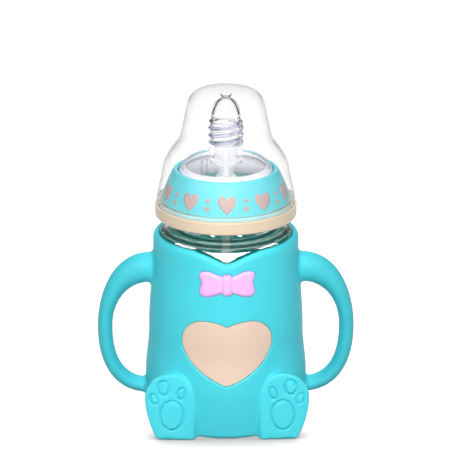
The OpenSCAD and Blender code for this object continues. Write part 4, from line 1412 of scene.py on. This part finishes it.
# %% [markdown]
# In the photograph the teat's skirt is milky, the dome above it is almost clear, and the ribs and the tip
# have dark edges. Two finishes make this. The one for skirt and dome bends light very little, and its
# clear share grows with the height. The one for stem and tip bends light as silicone does. Its colour is
# painted shade: darker where the surface turns away from the eye, and a deeper lavender on the rib crests.

# %% Teat: finishes
DOME_BEND = 1.02
STEM_BEND = 1.41
TEAT_ROUGH = 0.04
SKIRT_TONE = (0.98, 0.91, 1.0)
SKIRT_CLEAR = 0.06
DOME_CLEAR = 0.93
SKIRT_TOP = DOME_FOOT + 3.2
SKIRT_FADE = 0.7
RIB_PAINTED_SHADE = (0.60, 0.58, 0.76)
RIB_FROM = STEM_R + 0.15
RIB_FULL = STEM_R + 0.6

dome_silicone = clear("dome_silicone", (1, 1, 1, 1), DOME_BEND, TEAT_ROUGH)
tree, shader = opened(dome_silicone)
skirt_up = height_share(tree, SKIRT_TOP, SKIRT_TOP + SKIRT_FADE)
skirt_tint = ramp(tree, "milky skirt", skirt_up, ((0.0, SKIRT_TONE), (1.0, 1.0)))
skirt_share = ramp(tree, "clear share", skirt_up, ((0.0, SKIRT_CLEAR), (1.0, DOME_CLEAR)))
link(tree, skirt_tint, shader.inputs["Base Color"])
link(tree, skirt_share, shader.inputs["Transmission Weight"])

clear_silicone = clear("clear_silicone", (1, 1, 1, 1), STEM_BEND, TEAT_ROUGH)
tree, shader = opened(clear_silicone)
edge = put(tree, "ShaderNodeLayerWeight", "towards the edge", {"Blend": 0.5})
# Painted shade: the ribs and the tip darken where they turn away from the eye.
dark = ramp(tree, "painted dark edges of the ribs and the tip", edge.outputs["Facing"], (
    (0.45, 1.0), (0.60, (0.78, 0.75, 0.88)), (0.76, (0.30, 0.28, 0.37)), (1.0, (0.05, 0.05, 0.06))))
# Painted shade: the crests of the ribs are a deeper lavender.
crest = put(tree, "ShaderNodeMapRange", "crest of a rib", {
    "From Min": RIB_FROM * MM, "From Max": RIB_FULL * MM, "To Min": 1.0, "To Max": 0.0})
rib_shade_ramp = ramp(tree, "painted shade on the rib crests", crest.outputs["Result"], ((0.0, RIB_PAINTED_SHADE), (1.0, 1.0)))
teat_painted_shade = put(tree, "ShaderNodeMix", "painted shade on ribs and edges", {0: 1.0}, data_type="RGBA", blend_type="MULTIPLY")
link(tree, radius_of(tree), crest.inputs["Value"])
link(tree, rib_shade_ramp, teat_painted_shade.inputs[6])
link(tree, dark, teat_painted_shade.inputs[7])
link(tree, teat_painted_shade.outputs[2], shader.inputs["Base Color"])
print(dome_silicone.name, "is used below,", clear_silicone.name, "above the plug of the connector")

# %% [markdown]
# The mesh is turned with the ribs as its swell. Then the faces below the split take the second finish,
# which is the usual way to give one moulding two finishes.

# %% Teat: mesh
FINISH_SPLIT = PLUG_TOP + 1.0

teat = turned("teat_wall", teat_outline(), swell=ribbed)
dress(teat, "teat", "clear_silicone", clear_silicone, "teat")
teat.data.materials.append(dome_silicone)
for face in teat.data.polygons:
    if face.center.z < FINISH_SPLIT * MM:
        face.material_index = 1

# %% [markdown]
# Two low ribs inside the skirt of the teat make its air vent. They are thin bars that lie against the
# inner wall.

# %% Air vent ribs
VENT_ANGLE = math.radians(120)
VENT_GAP = 2.8
VENT_W = 0.8
VENT_DEEP = 1.0
vent_verts, vent_faces = [], []
for side in (-1, 1):
    bar = rounded([
        (-VENT_W / 2, -VENT_DEEP, 0.25), (VENT_W / 2, -VENT_DEEP, 0.25),
        (VENT_W / 2, 0.3, 0), (-VENT_W / 2, 0.3, 0)], 3)
    rings = []
    for z in np.linspace(TEAT_FOOT + 0.1, DOME_FOOT + 1.5, 6):
        rings.append(list(range(len(vent_verts), len(vent_verts) + len(bar))))
        for across, out in bar:
            radial = SKIRT_R - TEAT_WALL + out
            sideways_mm = side * VENT_GAP / 2 + across
            vent_verts.append((
                radial * math.cos(VENT_ANGLE) - sideways_mm * math.sin(VENT_ANGLE),
                radial * math.sin(VENT_ANGLE) + sideways_mm * math.cos(VENT_ANGLE), z))
    vent_faces += rings_to_faces(rings, False) + [rings[0], rings[-1]]
vent = finish_mesh("air_vent_ribs", vent_verts, vent_faces)
vent.data.materials.append(clear_silicone)
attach(vent, "teat")
print("air vent ribs have", len(vent.data.polygons), "faces")

# %% [markdown]
# ## Connector, straw and weight
# Under the stem sits a connector of milky plastic with a socket for the straw. The straw is a tube of
# soft silicone.
# The weight is a housing with a steel ring inside. Its cage keeps the frame's own solid, which only needs
# a better finish.

# %% Straw connector
SOCKET_R = STRAW_R + 0.1
SOCKET_OUT_R = SOCKET_R + 2.2
SOCKET_TOP = SOCKET_FOOT + 7.3 + 1.1
NECKED_R = 3.5
MILK_R = 1.5
SEAT_LOW = SEAT_Z - 1.5
PLUG_R = STEM_BORE_R - 0.1

milky_plastic = clear("milky_plastic", (0.96, 0.95, 0.97, 1), 1.12, 0.15, haze=0.3)
connector = turned("straw_connector_plug", rounded([
    (SOCKET_R, SOCKET_FOOT, 0.3), (SOCKET_OUT_R, SOCKET_FOOT, 0.4), (SOCKET_OUT_R, SOCKET_TOP, 0.4),
    (NECKED_R, SOCKET_TOP, 0.5), (NECKED_R, SEAT_LOW, 0.4), (SEAT_R, SEAT_LOW, 0.4), (SEAT_R, SEAT_Z, 0.3),
    (PLUG_R, SEAT_Z, 0.2), (PLUG_R, PLUG_TOP, 0.7), (MILK_R, PLUG_TOP, 0.3),
    (MILK_R, STRAW_TOP, 0), (SOCKET_R, STRAW_TOP, 0)]), SMALL_AROUND)
dress(connector, "teat", "white_plastic", milky_plastic, "straw_connector")

# %% Straw
STRAW_WALL = 0.8
STRAW_STEPS = 90
STRAW_AROUND = 48
heights = np.linspace(STRAW_FOOT, STRAW_TOP, STRAW_STEPS)
straw_outline = np.vstack([
    np.stack([np.full(STRAW_STEPS, STRAW_R), heights], 1),
    np.stack([np.full(STRAW_STEPS, STRAW_R - STRAW_WALL), heights[::-1]], 1)])
straw = turned("straw_tube_wall", straw_outline, STRAW_AROUND)
straw.data.materials.append(straw_silicone)
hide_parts("straw_tube")
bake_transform(straw)
print("straw", round(STRAW_TOP - STRAW_FOOT, 1), "mm long")

# %% Weight
HOUSING_TOP = STRAW_FOOT
NIPPLE_R = STRAW_R - STRAW_WALL - 0.1
HOUSING_WALL = 1.2
HOUSING_IN_R = WEIGHT_R - HOUSING_WALL
STEEL_IN_R = 2.0
housing = turned("weight_housing_shell", rounded([
    (HOUSING_IN_R, HOUSING_FOOT, 0.1), (WEIGHT_R, HOUSING_FOOT, 0.3), (WEIGHT_R, HOUSING_TOP - 0.2, 1.6),
    (NIPPLE_R, HOUSING_TOP, 0.1), (NIPPLE_R, NIPPLE_TOP, 0.3), (NIPPLE_R / 2, NIPPLE_TOP, 0.2),
    (NIPPLE_R / 2, HOUSING_TOP - HOUSING_WALL, 0), (HOUSING_IN_R, HOUSING_TOP - HOUSING_WALL, 0)]),
    SMALL_AROUND)
dress(housing, "straw", "white_plastic", white_plastic, "weight_housing")

weight = turned("steel_weight_ring", rounded([
    (STEEL_IN_R, STEEL_FOOT, 0.3), (STEEL_R, STEEL_FOOT, 0.4), (STEEL_R, STEEL_TOP, 0.4),
    (STEEL_IN_R, STEEL_TOP, 0.3)]), SMALL_AROUND)
dress(weight, "straw", "steel", steel, "steel_weight")

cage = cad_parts["weight_cage"]
cage.data.materials.clear()
cage.data.materials.append(white_plastic)

# %% [markdown]
# ## The dust cap
# The cap is a bell of clear plastic with a bead round its foot. Its outline has a drafted foot, a
# shoulder, a hollow waist and a rounded top, and the inside follows it. The wall is drawn thinner than
# that of its solid, which keeps its outline as thin as in the photograph.

# %% Dust cap
CAP_WALL = 0.5
CAP_DRAFT = 2.3
CAP_WALL_H = 14.0
CAP_WAIST_R = 20.8
CAP_WAIST_Z = STEM_FOOT + 10.2
CAP_DOME_R = 18.4
CAP_DOME_H = 9.6
CAP_ROUNDNESS = 3.5
CAP_BEAD_R = COLLAR_R + 0.5
CAP_BEAD_TOP = CAP_FOOT + 1.8
CAP_AROUND = 160


def cap_line(inset, base):
    """One face of the cap's wall, from its foot to its top."""
    foot_r = CAP_R - inset
    shoulder_r = foot_r - CAP_DRAFT
    shoulder_z = CAP_FOOT + CAP_WALL_H
    waist = (CAP_WAIST_R - inset, CAP_WAIST_Z - inset / 2)
    rise = waist[1] - shoulder_z
    dome_z = CAP_TOP - CAP_DOME_H
    lean = (CAP_WAIST_R - CAP_DOME_R) / (dome_z - CAP_WAIST_Z)
    t = np.sin(np.radians(np.linspace(0, 90, 33)))
    t[-1] = 1.0
    high = (CAP_DOME_H - inset) * t
    drawn_in = (1 - t ** CAP_ROUNDNESS) ** (1 / CAP_ROUNDNESS)
    dome = np.stack([(CAP_DOME_R - inset - lean * high) * drawn_in, dome_z + high], 1)
    lower = bezier(
        (foot_r, base), (foot_r - CAP_DRAFT * 0.1, base + CAP_WALL_H * 0.4),
        (shoulder_r + CAP_DRAFT * 0.3, shoulder_z - CAP_WALL_H * 0.3), (shoulder_r, shoulder_z))
    bell = bezier(
        (shoulder_r, shoulder_z), (shoulder_r - CAP_DRAFT * 0.75, shoulder_z + rise * 0.59),
        (waist[0] + lean * rise * 0.32, waist[1] - rise * 0.32), waist, 20)
    return np.vstack([lower, bell[1:], dome])


cap_outline = np.vstack([
    [(CAP_BEAD_R, CAP_FOOT)], cap_line(0, CAP_FOOT), cap_line(CAP_WALL, CAP_BEAD_TOP)[::-1],
    [(CAP_BEAD_R, CAP_BEAD_TOP)]])
cap = turned("dust_cap_wall", cap_outline, CAP_AROUND)
dress(cap, "cap", "clear_plastic", clear_plastic, "dust_cap")
